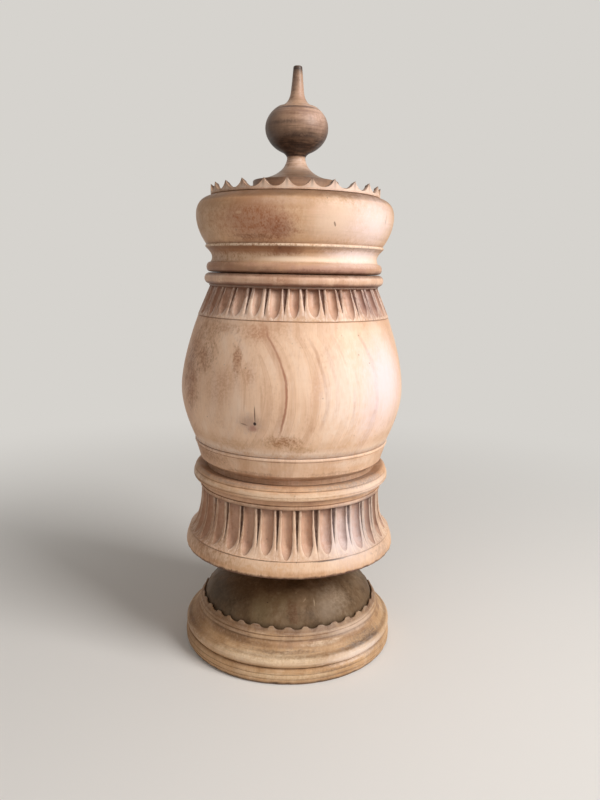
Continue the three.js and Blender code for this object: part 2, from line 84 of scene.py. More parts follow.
# ------------------------------------------------------------------ outlines and turning


@dataclass
class Row:
    """One ring of a turned piece: its radius and height, how dark it is from dirt and in places
    from painted shade, and how worn it is.
    """

    radius: float
    height: float
    grime: float = 0.0
    wear: float = 0.0


class Outline:
    """The outline of a turned piece, from the axis underneath round to the axis on top."""

    def __init__(self, radius: float, height: float) -> None:
        """Starts the outline.

        Args:
            radius: Radius of its first point.
            height: Height of its first point over the piece's base.
        """
        self.rows: list[Row] = [Row(radius, height)]

    @property
    def end(self) -> Row:
        """The last point so far."""
        return self.rows[-1]

    def line(self, radius: float, height: float, steps: int = 1) -> Outline:
        """Goes straight to a point.

        Args:
            radius: Radius of the point.
            height: Height of the point.
            steps: Rows that the stretch takes.

        Returns:
            The outline itself.
        """
        start = self.end
        for i in range(1, steps + 1):
            share = i / steps
            self.rows.append(
                Row(
                    start.radius + (radius - start.radius) * share,
                    start.height + (height - start.height) * share,
                )
            )
        return self

    def sweep(
        self, corner: tuple[float, float], radius: float, height: float, steps: int
    ) -> Outline:
        """Goes to a point in one smooth curve that is drawn towards a corner.

        Args:
            corner: Radius and height of the corner.
            radius: Radius of the point.
            height: Height of the point.
            steps: Rows that the curve takes.

        Returns:
            The outline itself.
        """
        start = self.end
        for i in range(1, steps + 1):
            t = i / steps
            a, b, c = (1 - t) ** 2, 2 * t * (1 - t), t * t
            self.rows.append(
                Row(
                    a * start.radius + b * corner[0] + c * radius,
                    a * start.height + b * corner[1] + c * height,
                )
            )
        return self

    def bead(self, swell: float, height: float, steps: int) -> Outline:
        """Stands out in a half round and comes back to the same radius.

        Args:
            swell: How far the half round stands out.
            height: Height at which it ends.
            steps: Rows that it takes.

        Returns:
            The outline itself.
        """
        start = self.end
        half = (height - start.height) / 2
        return self.ellipse(swell, half, start.height + half, -90, 90, steps, start.radius)

    def ellipse(
        self,
        radius: float,
        reach: float,
        centre: float,
        first: float,
        last: float,
        steps: int,
        core: float = 0.0,
    ) -> Outline:
        """Follows an ellipse about a point on the axis, or about a ring round it.

        Args:
            radius: Radius of the ellipse across.
            reach: Radius of the ellipse upwards.
            centre: Height of its centre.
            first: Angle over the horizon at which it starts, in degrees.
            last: Angle at which it ends.
            steps: Rows that it takes.
            core: Radius of the ring that its centre lies on.

        Returns:
            The outline itself.
        """
        for i in range(1, steps + 1):
            angle = math.radians(first + (last - first) * i / steps)
            self.rows.append(
                Row(core + radius * math.cos(angle), centre + reach * math.sin(angle))
            )
        return self

    def groove(self, width: float, depth: float, grime: float = 1.0) -> Outline:
        """Cuts a fine V line and comes back to the surface.

        Args:
            width: Width of the line along the height.
            depth: Depth of the line.
            grime: How full of dirt it is, from 0 to 1.

        Returns:
            The outline itself.
        """
        start = self.end
        rises = ((0.3, 0.75), (0.5, 1.0), (0.7, 0.75), (1.0, 0.0))
        for rise, share in rises:
            self.rows.append(
                Row(
                    start.radius - depth * share,
                    start.height + width * rise,
                    grime if share else grime * 0.25,
                )
            )
        return self

    def stain(self, low: float, high: float, grime: float, fade: float = 1.0) -> Outline:
        """Darkens the rows between two heights.

        Args:
            low: Height at which the dirt starts.
            high: Height at which it ends.
            grime: How dark it is, from 0 to 1.
            fade: Height over which it fades at both ends.

        Returns:
            The outline itself.
        """
        for row in self.rows:
            over = max(low - row.height, row.height - high, 0.0)
            row.grime = max(row.grime, grime * max(0.0, 1 - over / fade))
        return self

    def polish(self, low: float, high: float, wear: float, fade: float = 1.0) -> Outline:
        """Wears the rows between two heights pale.

        Args:
            low: Height at which the wear starts.
            high: Height at which it ends.
            wear: How pale it is, from 0 to 1.
            fade: Height over which it fades at both ends.

        Returns:
            The outline itself.
        """
        for row in self.rows:
            over = max(low - row.height, row.height - high, 0.0)
            row.wear = max(row.wear, wear * max(0.0, 1 - over / fade))
        return self


def azimuth_of(place: Vector) -> float:
    """Azimuth of a point about the axis.

    Args:
        place: The point.

    Returns:
        Its azimuth in degrees, from -180 to 180.
    """
    return math.degrees(math.atan2(place.x, -place.y))


def on_ring(radius: float, azimuth: float, height: float) -> Vector:
    """A point given by radius, azimuth and height.

    Args:
        radius: Distance from the axis.
        azimuth: Azimuth in degrees.
        height: Height of the point.

    Returns:
        The point.
    """
    turn = math.radians(azimuth)
    return Vector((radius * math.sin(turn), -radius * math.cos(turn), height))


def gouge_radius(half_width: float, depth: float) -> float:
    """Radius of the gouge that leaves a cut of this half width and depth.

    Args:
        half_width: Half the width of the cut at the surface.
        depth: Depth of the cut in the middle.

    Returns:
        The radius of its edge.
    """
    return (half_width * half_width + depth * depth) / (2 * depth)


def uneven(chance: random.Random, count: int, low: float, high: float) -> list[float]:
    """Draws one value for each of a row of like cuts.

    Args:
        chance: Where the draws come from.
        count: How many cuts there are.
        low: The smallest value.
        high: The largest.

    Returns:
        The values.
    """
    return [chance.uniform(low, high) for _ in range(count)]


def push(vert: bmesh.types.BMVert, radius: float, move: float) -> None:
    """Moves a vertex straight out from the axis, or in towards it.

    Args:
        vert: The vertex.
        radius: Its distance from the axis.
        move: How far it goes, below 0 for inwards.
    """
    vert.co.x *= 1 + move / radius
    vert.co.y *= 1 + move / radius


def deepen(vert: bmesh.types.BMVert, layer: bmesh.types.BMLayerItem, amount: float) -> None:
    """Raises what a vertex remembers to an amount, where it remembers less.

    Args:
        vert: The vertex.
        layer: The layer of dirt and painted shade, wear or fresh cut.
        amount: The amount, from 0 to 1.
    """
    vert[layer] = max(vert[layer], amount)


def new_object(name: str, data: bpy.types.ID) -> bpy.types.Object:
    """Makes an object and puts it in the scene.

    Args:
        name: Its name.
        data: Its mesh, lamp or camera.

    Returns:
        The object.
    """
    made = bpy.data.objects.new(name, data)
    bpy.context.scene.collection.objects.link(made)
    return made


@dataclass
class Dent:
    """A small knock or chip in the surface."""

    azimuth: float
    height: float
    width: float
    depth: float
    grime: float

    def press(self, vert: bmesh.types.BMVert, radius: float) -> float:
        """How far a vertex gives way, as a share of the dent's depth.

        Args:
            vert: The vertex.
            radius: Its distance from the axis.

        Returns:
            A share from 0, outside the dent, to 1 in its middle.
        """
        turn = (azimuth_of(vert.co) - self.azimuth + 180) % 360 - 180
        across = math.radians(turn) * radius
        away = math.hypot(across, vert.co.z - self.height) / self.width
        return (1 - away * away) ** 1.5 if away < 1 else 0.0


class Turning:
    """A piece spun from its outline on a lathe, which can then be carved."""

    def __init__(
        self, outline: Outline, wedges: int, columns: int, azimuth: float = 0.0
    ) -> None:
        """Spins the outline about the Z axis, one wedge first and then the rest from it.

        Args:
            outline: The piece's outline.
            wedges: Equal wedges that make the full turn.
            columns: Columns of faces in a wedge.
            azimuth: Azimuth of the first column.
        """
        self.rows = outline.rows
        self.bm = bmesh.new()
        layers = self.bm.verts.layers
        self.row = layers.int.new(Layer.ROW.value)
        self.grime = layers.float.new(Layer.GRIME_AND_SHADE.value)
        self.cut = layers.float.new(Layer.CUT.value)
        self.wear = layers.float.new(Layer.WEAR.value)
        points = []
        for i, row in enumerate(self.rows):
            vert = self.bm.verts.new(on_ring(row.radius, azimuth, row.height))
            vert[self.row] = i
            vert[self.grime] = row.grime
            vert[self.wear] = row.wear
            points.append(vert)
        for pair in zip(points, points[1:]):
            self.bm.edges.new(pair)
        self.spin(1 / wedges, columns)
        self.spin(1 - 1 / wedges, wedges - 1, copies=True)
        bmesh.ops.remove_doubles(self.bm, verts=self.bm.verts, dist=SEAM)
        bmesh.ops.recalc_face_normals(self.bm, faces=self.bm.faces)

    def spin(self, turn: float, steps: int, copies: bool = False) -> None:
        """Spins all that is there about the Z axis.

        Args:
            turn: How far, as a share of the full turn.
            steps: Steps that it takes.
            copies: Whether each step leaves a copy, and not a swept wall.
        """
        bmesh.ops.spin(
            self.bm,
            geom=self.bm.verts[:] + self.bm.edges[:] + self.bm.faces[:],
            cent=(0, 0, 0),
            axis=(0, 0, 1),
            dvec=(0, 0, 0),
            angle=2 * math.pi * turn,
            steps=steps,
            use_duplicate=copies,
        )

    def normal(self, index: int) -> Vector:
        """Direction out of the wood at a row, as radius and height.

        Args:
            index: The row.

        Returns:
            The unit direction in the plane of the outline.
        """
        before = self.rows[max(index - 1, 0)]
        after = self.rows[min(index + 1, len(self.rows) - 1)]
        along = Vector((after.radius - before.radius, after.height - before.height))
        if along.length < 1e-9:
            return Vector((1.0, 0.0))
        along.normalize()
        return Vector((along.y, -along.x))

    def wobble(self, amount: float, size: float, seed: float) -> Turning:
        """Leaves the turned surface a little uneven, as old wood is.

        Args:
            amount: Largest move, in or out.
            size: Width of one unevenness.
            seed: Picks the pattern.

        Returns:
            The turning itself.
        """
        shift = Vector((seed, -seed, seed * 0.5))
        for vert in self.bm.verts:
            radius = math.hypot(vert.co.x, vert.co.y)
            if radius >= CORE:
                push(vert, radius, amount * noise.noise(vert.co / size + shift))
        return self

    def fray(self, low: float, high: float, amount: float, size: float, seed: float) -> Turning:
        """Wears an edge unevenly between two heights, always into the wood.

        Args:
            low: Height at which the worn edge starts.
            high: Height at which it ends.
            amount: Deepest wear.
            size: Width of one nick.
            seed: Picks the pattern.

        Returns:
            The turning itself.
        """
        shift = Vector((seed, seed * 0.3, -seed))
        for vert in self.bm.verts:
            row = self.rows[vert[self.row]]
            if not low <= vert.co.z <= high or row.radius < CORE:
                continue
            nick = max(0.0, noise.noise(vert.co / size + shift) + 0.1) * amount
            outwards = max(self.normal(vert[self.row]).x, 0.3)
            push(vert, row.radius, -nick * outwards)
            vert[self.grime] = min(1.0, vert[self.grime] + nick / amount * 0.35)
        return self

    def knock(self, dents: list[Dent]) -> Turning:
        """Adds small knocks and chips.

        Args:
            dents: The knocks.

        Returns:
            The turning itself.
        """
        for dent in dents:
            for vert in self.bm.verts:
                radius = math.hypot(vert.co.x, vert.co.y)
                if abs(vert.co.z - dent.height) > dent.width or radius < CORE:
                    continue
                press = dent.press(vert, radius)
                push(vert, radius, -dent.depth * press)
                deepen(vert, self.grime, dent.grime * press)
        return self

    def finish(self, name: str, lift: float, body: str, node: str, slot: str) -> bpy.types.Object:
        """Makes the object, puts it in place and parents it to its body's empty.

        Args:
            name: Name of the piece.
            lift: Height of the piece's base.
            body: Body that it rides on.
            node: Solid that it stands for.
            slot: The record's material slot; not used.

        Returns:
            The finished object.
        """
        for face in self.bm.faces:
            face.smooth = True
        for edge in self.bm.edges:
            if edge.is_manifold and edge.calc_face_angle(0.0) > math.radians(CRISP):
                edge.smooth = False
        bmesh.ops.translate(self.bm, verts=self.bm.verts, vec=(0, 0, lift))
        bmesh.ops.scale(self.bm, verts=self.bm.verts, vec=(MM, MM, MM))
        mesh = bpy.data.meshes.new(name)
        self.bm.to_mesh(mesh)
        self.bm.free()
        piece = new_object(name, mesh)
        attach(piece, body)
        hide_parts(node)
        log.info("%s: %d faces, on body %s", name, len(mesh.polygons), body)
        return piece


# ------------------------------------------------------------------ carving


class Cut(NamedTuple):
    """Where one column of a carved band goes at one row, and what the gouge leaves there: fresh
    wood, and dirt with painted shade.
    """

    offset: float
    sink: float = 0.0
    fresh: float = 0.0
    dirt: float = 0.0


@dataclass
class FluteBand:
    """A band of gouged flutes round a turned piece, with a V dart between each two.

    The band's columns are gathered onto the edges of the cuts, so that the arrises are clean.
    From a flute's middle, the first of them (gouged) lie in the flute, the next up to dart_from on
    the land beside it and the rest in the dart. Rows that lie nearer to the axis than inside are
    left alone, and so are those further than spread over or under the band.
    """

    count: int
    azimuth: float
    half_width: float
    depth: float
    low: float
    high: float
    tip: float
    dart_half_width: float
    dart_depth: float
    dart_share: float
    seed: int
    inside: float = 56.0
    columns: int = 24
    gouged: int = 8
    dart_from: int = 10
    spread: float = 3.0
    foot_gap: float = 1.0
    foot_spread: float = 1.2
    foot_share: float = 0.8
    narrowest: float = 0.3
    land: float = 0.35
    narrowest_dart: float = 0.2
    edge_waver: float = 0.07
    dart_waver: float = 0.22
    stroke: float = 0.13
    barely: float = 0.05
    arris_wear: float = 0.55

    def __post_init__(self) -> None:
        """Gives each flute its own small unevenness."""
        draw = partial(uneven, random.Random(self.seed), self.count)
        self.shift = draw(-0.45, 0.45)
        self.width = draw(0.8, 1.05)
        self.sink = draw(0.82, 1.12)
        self.foot = draw(-0.8, 1.3)
        self.dirt = draw(0.0, 0.4)
        self.dart_foot = draw(-0.12, 0.12)
        self.dart_width = draw(0.7, 1.25)

    def centre(self, index: int) -> float:
        """Azimuth of a flute's middle, in degrees.

        Args:
            index: The flute, which may run past the count.

        Returns:
            Its azimuth.
        """
        return self.azimuth + 360 / self.count * index + self.shift[index % self.count]

    def foot_of(self, flute: int) -> float:
        """Height at which a flute starts.

        Args:
            flute: The flute.

        Returns:
            The height.
        """
        return self.low + self.foot_gap + self.foot[flute]

    def tip_share(self, flute: int, height: float) -> float:
        """How much of its full width a flute has at a height.

        Args:
            flute: The flute.
            height: The height.

        Returns:
            A share from 0, below the tip, to 1.
        """
        along = min(1.0, max(0.0, (height - self.foot_of(flute)) / self.tip))
        return math.sqrt(1 - (1 - along) ** 1.7)

    def dart_share_at(self, dart: int, height: float) -> float:
        """How much of its full width a dart has at a height.

        Args:
            dart: The flute on the dart's left.
            height: The height.

        Returns:
            A share from 0, below the point, to 1 at the top.
        """
        reach = (self.high - self.low) * (self.dart_share + self.dart_foot[dart])
        return min(1.0, max(0.0, 1 - (self.high - height) / reach))

    def carve(self, piece: Turning) -> None:
        """Cuts the band into a piece.

        Args:
            piece: The piece, spun with the band's columns for each flute.
        """
        pitch = 360 / self.count
        for vert in piece.bm.verts:
            row = piece.rows[vert[piece.row]]
            over = max(self.low - row.height, row.height - self.high, 0.0)
            if over > self.spread or row.radius < self.inside:
                continue
            phase = (azimuth_of(vert.co) - self.azimuth) / pitch
            index = round(phase)
            step = round((phase - index) * self.columns)
            side = 1 if step >= 0 else -1
            cut = self.cut(index, side, abs(step), row)
            if over > 0:
                cut = Cut(cut.offset)
            gathered = self.centre(index) + side * math.degrees(cut.offset / row.radius)
            even = self.azimuth + pitch * (index + step / self.columns)
            azimuth = even + (gathered - even) * (1 - over / self.spread)
            out = piece.normal(vert[piece.row]) * cut.sink
            vert.co = on_ring(row.radius - out.x, azimuth, row.height - out.y)
            deepen(vert, piece.cut, cut.fresh)
            deepen(vert, piece.grime, cut.dirt)
            if over == 0 and abs(step) in (self.gouged, self.dart_from):
                deepen(vert, piece.wear, self.arris_wear)

    def cut(self, index: int, side: int, step: int, row: Row) -> Cut:
        """Works out one column at one row: in the flute, on the land beside it or in the dart.

        Args:
            index: The nearest flute.
            side: 1 to the right of its middle, -1 to the left.
            step: Columns away from its middle.
            row: The row.

        Returns:
            Where it goes and what is left there.
        """
        flute = index % self.count
        left = index if side > 0 else index - 1
        dart = left % self.count
        to_next = abs(self.centre(index + side) - self.centre(index))
        half_gap = math.radians(to_next / 2) * row.radius
        share = self.tip_share(flute, row.height)
        unsteady = noise.noise((flute * 3.7, side * 5.1, row.height / 3.2))
        full = self.half_width * self.width[flute] * (1 + self.edge_waver * unsteady)
        edge = max(full * share, self.narrowest) if share < 1 else full
        if row.height <= self.foot_of(flute) - self.foot_spread:
            edge = full * self.foot_share
        if step <= self.gouged:
            return self.flute_cut(flute, side, step / self.gouged, row, edge, full, share)
        open_dart = self.dart_share_at(dart, row.height)
        ragged = noise.noise((left * 4.1, 9.0, row.height / 2.4))
        dart_edge = self.dart_half_width * self.dart_width[dart]
        dart_edge *= max(open_dart**0.8, 0.2) * (1 + self.dart_waver * ragged)
        dart_edge = min(dart_edge, max(half_gap - edge - self.land, self.narrowest_dart))
        if step <= self.dart_from:
            along = (step - self.gouged) / (self.dart_from - self.gouged)
            return Cut(edge + (half_gap - dart_edge - edge) * along)
        along = (step - self.dart_from) / (self.columns // 2 - self.dart_from)
        sink = self.dart_depth * math.sqrt(open_dart) * along
        dirt = min(1.0, 0.5 + along) * min(1.0, open_dart * 6)
        return Cut(half_gap - dart_edge * (1 - along), sink, 0.0, dirt)

    def flute_cut(
        self, flute: int, side: int, reach: float, row: Row, edge: float, full: float, share: float
    ) -> Cut:
        """Works out one column inside a flute, which is a round gouge's cut.

        Args:
            flute: The flute.
            side: 1 to the right of its middle, -1 to the left.
            reach: How far the column lies from the middle to the edge, from 0 to 1.
            row: The row.
            edge: Half the flute's width at this row.
            full: Half its width where it is widest.
            share: How much of its full width it has.

        Returns:
            Where it goes and what is left there.
        """
        offset = edge * math.sin(math.pi / 2 * reach)
        radius = gouge_radius(full, self.depth * self.sink[flute])
        sink = 0.0
        if share > 0 and reach < 1:
            chord = math.sqrt(max(radius**2 - (full * share) ** 2, 0.0))
            sink = max(math.sqrt(max(radius**2 - offset**2, 0.0)) - chord, 0.0)
        stroke = noise.noise((flute * 2.3, offset * side / 2.2, row.height / 4.5))
        sink *= 1 + self.stroke * stroke
        fresh = 1.0 if sink > self.barely else 0.0
        # Dirt in the flute's corners. The wall right of the middle, which faces away from the
        # window lamp, gets far more: painted shade over the dirt.
        corner = 0.68 * reach**2 if side > 0 else 0.2 * reach**4
        return Cut(offset, sink, fresh, (self.dirt_at(flute, row.height) + corner) * fresh)

    def dirt_at(self, flute: int, height: float) -> float:
        """How dirty the floor of a flute is: most at both ends.

        Args:
            flute: The flute.
            height: The height.

        Returns:
            Its dirt, from 0 to 1.
        """
        low = max(0.0, 1 - (height - self.low) / 5)
        high = max(0.0, 1 - (self.high - height) / 3)
        return min(0.8, 0.02 + self.dirt[flute] * 0.35 + 0.16 * low + 0.4 * high)


@dataclass
class ScallopRing:
    """Rounded scoops cut side by side into a raised crest, which leave a row of small knobs."""

    count: int
    azimuth: float
    half_width: float
    reach: float
    depth: float
    radius: float
    low: float
    top: float
    seed: int

    def carve(self, piece: Turning) -> None:
        """Cuts the scoops into a piece.

        Args:
            piece: The piece.
        """
        draw = partial(uneven, random.Random(self.seed), self.count)
        shifts, sizes, drops = draw(-0.5, 0.5), draw(0.88, 1.1), draw(0.0, 0.6)
        pitch = 360 / self.count
        gouge = gouge_radius(self.half_width, self.reach)
        centre = self.radius + self.reach - gouge
        for vert in piece.bm.verts:
            radius = math.hypot(vert.co.x, vert.co.y)
            if vert.co.z <= self.low or radius < self.radius - 0.5:
                continue
            phase = (azimuth_of(vert.co) - self.azimuth) / pitch
            index = round(phase)
            turn = math.radians((phase - index) * pitch + shifts[index % self.count])
            size = sizes[index % self.count]
            across, along = radius * math.sin(turn), radius * math.cos(turn) - centre
            away = math.hypot(across, along) / (gouge * size)
            scoop = math.sqrt(1 - away * away) if away < 1 else 0.0
            knob = abs(phase - math.floor(phase) - 0.5) * 2
            ceiling = self.top - drops[math.floor(phase) % self.count] - 1.5 * knob * knob
            floor = min(ceiling, self.top - self.depth * size * scoop)
            rise = (vert.co.z - self.low) / (self.top - self.low)
            vert.co.z = self.low + (max(floor, self.low + 0.2) - self.low) * rise
            dirt = (0.3 + 0.35 * scoop) * (0.3 + 0.7 * rise)
            deepen(vert, piece.grime, dirt)
            deepen(vert, piece.wear, (1 - scoop) * 0.3 * rise)


@dataclass
class ToothedEdge:
    """Pointed teeth left between rounded notches, which narrow towards the inside of the ring."""

    count: int
    azimuth: float
    depth: float
    tip: float
    band: float
    top: float
    radius: float
    wall: float
    bevel: float
    taper: float
    seed: int

    def carve(self, piece: Turning) -> None:
        """Cuts the teeth into a ring.

        Args:
            piece: The ring.
        """
        draw = partial(uneven, random.Random(self.seed), self.count)
        lean, drop = draw(-0.45, 0.45), draw(0.0, 0.5)
        pitch = 360 / self.count
        width = 2 * self.radius * math.sin(math.pi / self.count) - self.tip
        gouge = gouge_radius(width / 2, self.depth)
        bottom = self.top - self.depth
        for vert in piece.bm.verts:
            if vert.co.z <= self.band:
                continue
            ring = math.hypot(vert.co.x, vert.co.y)
            inward = min(1.0, max(0.0, (self.radius - ring) / self.wall))
            phase = (azimuth_of(vert.co) - self.azimuth) / pitch - 0.5
            index = round(phase)
            side = index + (1 if phase > index else 0)
            across = math.radians(abs(phase - index) * pitch) * self.radius
            arc = math.sqrt(max(gouge**2 - (across + self.bevel * inward) ** 2, 0.0))
            edge = min(self.top, bottom + gouge - arc)
            share = max((edge - bottom) / self.depth, 0.0)
            edge -= drop[side % self.count] * share**3 + self.taper * inward * share
            rise = (vert.co.z - self.band) / (self.top - self.band)
            turn = azimuth_of(vert.co) + lean[side % self.count] * share**2 * rise
            vert.co = on_ring(ring, turn, self.band + (edge - self.band) * rise)
            # Dirt at the tips of the notches. The notch walls and the ring's inside face get dirt
            # with painted shade on top.
            dirt = 0.9 * rise * max(share - 0.6, 0.0) / 0.4 + 0.8 * min(1.0, 2 * inward) * rise
            deepen(vert, piece.grime, min(dirt, 0.95))
            deepen(vert, piece.wear, 0.6 * (1 - rise) * (1 - inward))


# ------------------------------------------------------------------ finishes


def linear(colour: str) -> tuple[float, float, float, float]:
    """Turns an sRGB hex colour to linear.

    Args:
        colour: The colour, such as "#DDB592".

    Returns:
        Its linear red, green and blue, and an alpha of 1.
    """
    parts = [int(colour[i : i + 2], 16) / 255 for i in (1, 3, 5)]
    values = [c / 12.92 if c <= 0.04045 else ((c + 0.055) / 1.055) ** 2.4 for c in parts]
    return (values[0], values[1], values[2], 1.0)


class Kind(Enum):
    """Kinds of node, each as its type and the settings that it always has here."""

    ADD = ("ShaderNodeMath", {"operation": "ADD"})
    SUBTRACT = ("ShaderNodeMath", {"operation": "SUBTRACT"})
    MULTIPLY = ("ShaderNodeMath", {"operation": "MULTIPLY"})
    MULTIPLY_ADD = ("ShaderNodeMath", {"operation": "MULTIPLY_ADD"})
    ABSOLUTE = ("ShaderNodeMath", {"operation": "ABSOLUTE"})
    SMALLER = ("ShaderNodeMath", {"operation": "MINIMUM"})
    LARGER = ("ShaderNodeMath", {"operation": "MAXIMUM"})
    LENGTH = ("ShaderNodeVectorMath", {"operation": "LENGTH"})
    MASK = ("ShaderNodeMapRange", {"interpolation_type": "SMOOTHSTEP"})
    SPAN = ("ShaderNodeMapRange", {})
    PLACE = ("ShaderNodeTexCoord", {})
    SPLIT = ("ShaderNodeSeparateXYZ", {})
    JOIN = ("ShaderNodeCombineXYZ", {})
    STRETCH = ("ShaderNodeMapping", {})
    PATCH = ("ShaderNodeMapping", {"vector_type": "TEXTURE"})
    NOISE = ("ShaderNodeTexNoise", {})
    CELLS = ("ShaderNodeTexVoronoi", {})
    CARVED = ("ShaderNodeAttribute", {"attribute_type": "GEOMETRY"})
    COAT = ("ShaderNodeMix", {"data_type": "RGBA"})
    BUMP = ("ShaderNodeBump", {})
    SHADER = ("ShaderNodeBsdfPrincipled", {})
    RAYS = ("ShaderNodeLightPath", {})
    GLOW = ("ShaderNodeEmission", {})
    AIR = ("ShaderNodeBackground", {})
    EITHER = ("ShaderNodeMixShader", {})
    MATERIAL = ("ShaderNodeOutputMaterial", {})
    WORLD = ("ShaderNodeOutputWorld", {})


Source = bpy.types.Node | bpy.types.NodeSocket | float


def add_node(
    tree: bpy.types.NodeTree, kind: Kind, *numbered: Source, **named: object
) -> bpy.types.Node:
    """Adds a node with its settings, values and links.

    Args:
        tree: The tree it goes into.
        kind: What kind of node it is.
        numbered: A value, a node or a node's output for each of its live inputs in turn.
        named: The same by name, with _ for a space. A name in small letters is a setting.

    Returns:
        The node.
    """
    type_name, settings = kind.value
    node = tree.nodes.new(type_name)
    for key, value in {**settings, **named}.items():
        if key.islower():
            setattr(node, key, value)
    live = [socket for socket in node.inputs if socket.enabled]
    inputs = list(zip(live, numbered))
    inputs += [
        (node.inputs[key.replace("_", " ")], value)
        for key, value in named.items()
        if not key.islower()
    ]
    for socket, value in inputs:
        if isinstance(value, bpy.types.Node):
            value = next(output for output in value.outputs if output.enabled)
        if isinstance(value, bpy.types.NodeSocket):
            tree.links.new(value, socket)
        else:
            socket.default_value = value
    return node


def bare_tree(owner: bpy.types.Material | bpy.types.World) -> bpy.types.NodeTree:
    """Gives a material or a world an empty node tree.

    Args:
        owner: The material or world.

    Returns:
        Its tree.
    """
    owner.use_nodes = True
    owner.node_tree.nodes.clear()
    return owner.node_tree


class Run(Enum):
    """Which way stains and scuffs are drawn out, as how many times longer they are on each axis."""

    UPRIGHT = (1.0, 1.0, 9.0)
    ROUND = (13.0, 13.0, 1.0)
    PATCHY = (1.0, 1.0, 1.6)


@dataclass(frozen=True)
class Mark:
    """A stain, worn patch or crack at one place on the wood, or a patch of painted light or painted
    shade.

    It is a soft ellipsoid about a point of the surface, with an edge broken up by the fibre. One
    that lies over the carving also evens out the cuts, their arrises and the dirt in them.
    """

    radius: float
    azimuth: float
    height: float
    width: float
    tall: float
    colour: str
    strength: float
    ragged: float = 0.5
    lean: float = 0.0
    deep: float = 14.0
    soft: float = 0.65
    over_carving: bool = False


@dataclass(frozen=True)
class YearLine:
    """One dark year line: its place across the blank, its width and how far up it shows."""

    place: float
    width: float
    strength: float
    low: float
    high: float


@dataclass(frozen=True)
class Zone:
    """A level zone of a turned piece, darker or paler all round: kept or lost polish, and in places
    painted shade under an overhang.
    """

    low: float
    high: float
    colour: str
    strength: float
    fade: float = 1.5


@dataclass(frozen=True)
class WoodFinish:
    """One kind of worked and aged wood, with painted light and shade among its zones and marks, and
    the sizes of its figure in millimetres.
    """

    name: str
    base: str
    pale: str
    brown: str
    grime: str
    cut: str
    run: Run = Run.UPRIGHT
    fleck_width: float = 0.9
    layer_gap: float = 7.0
    layer_strength: float = 0.12
    bow: float = 0.0
    bow_height: float = 190.0
    bow_reach: float = 38.0
    lines: tuple[YearLine, ...] = ()
    line_colour: str = "#A2664A"
    fibre_width: float = 1.1
    fibre_length: float = 34.0
    fibre_strength: float = 0.2
    blotch_size: float = 34.0
    blotch_share: float = 0.35
    blotch_strength: float = 0.5
    lathe_gap: float = 1.0
    lathe_strength: float = 0.1
    scratch_strength: float = 0.0
    pit_gap: float = 7.0
    pit_strength: float = 0.75
    roughness: float = 0.6
    sheen_level: float = 0.4
    dry_strength: float = 0.0
    zones: tuple[Zone, ...] = ()
    marks: tuple[Mark, ...] = ()


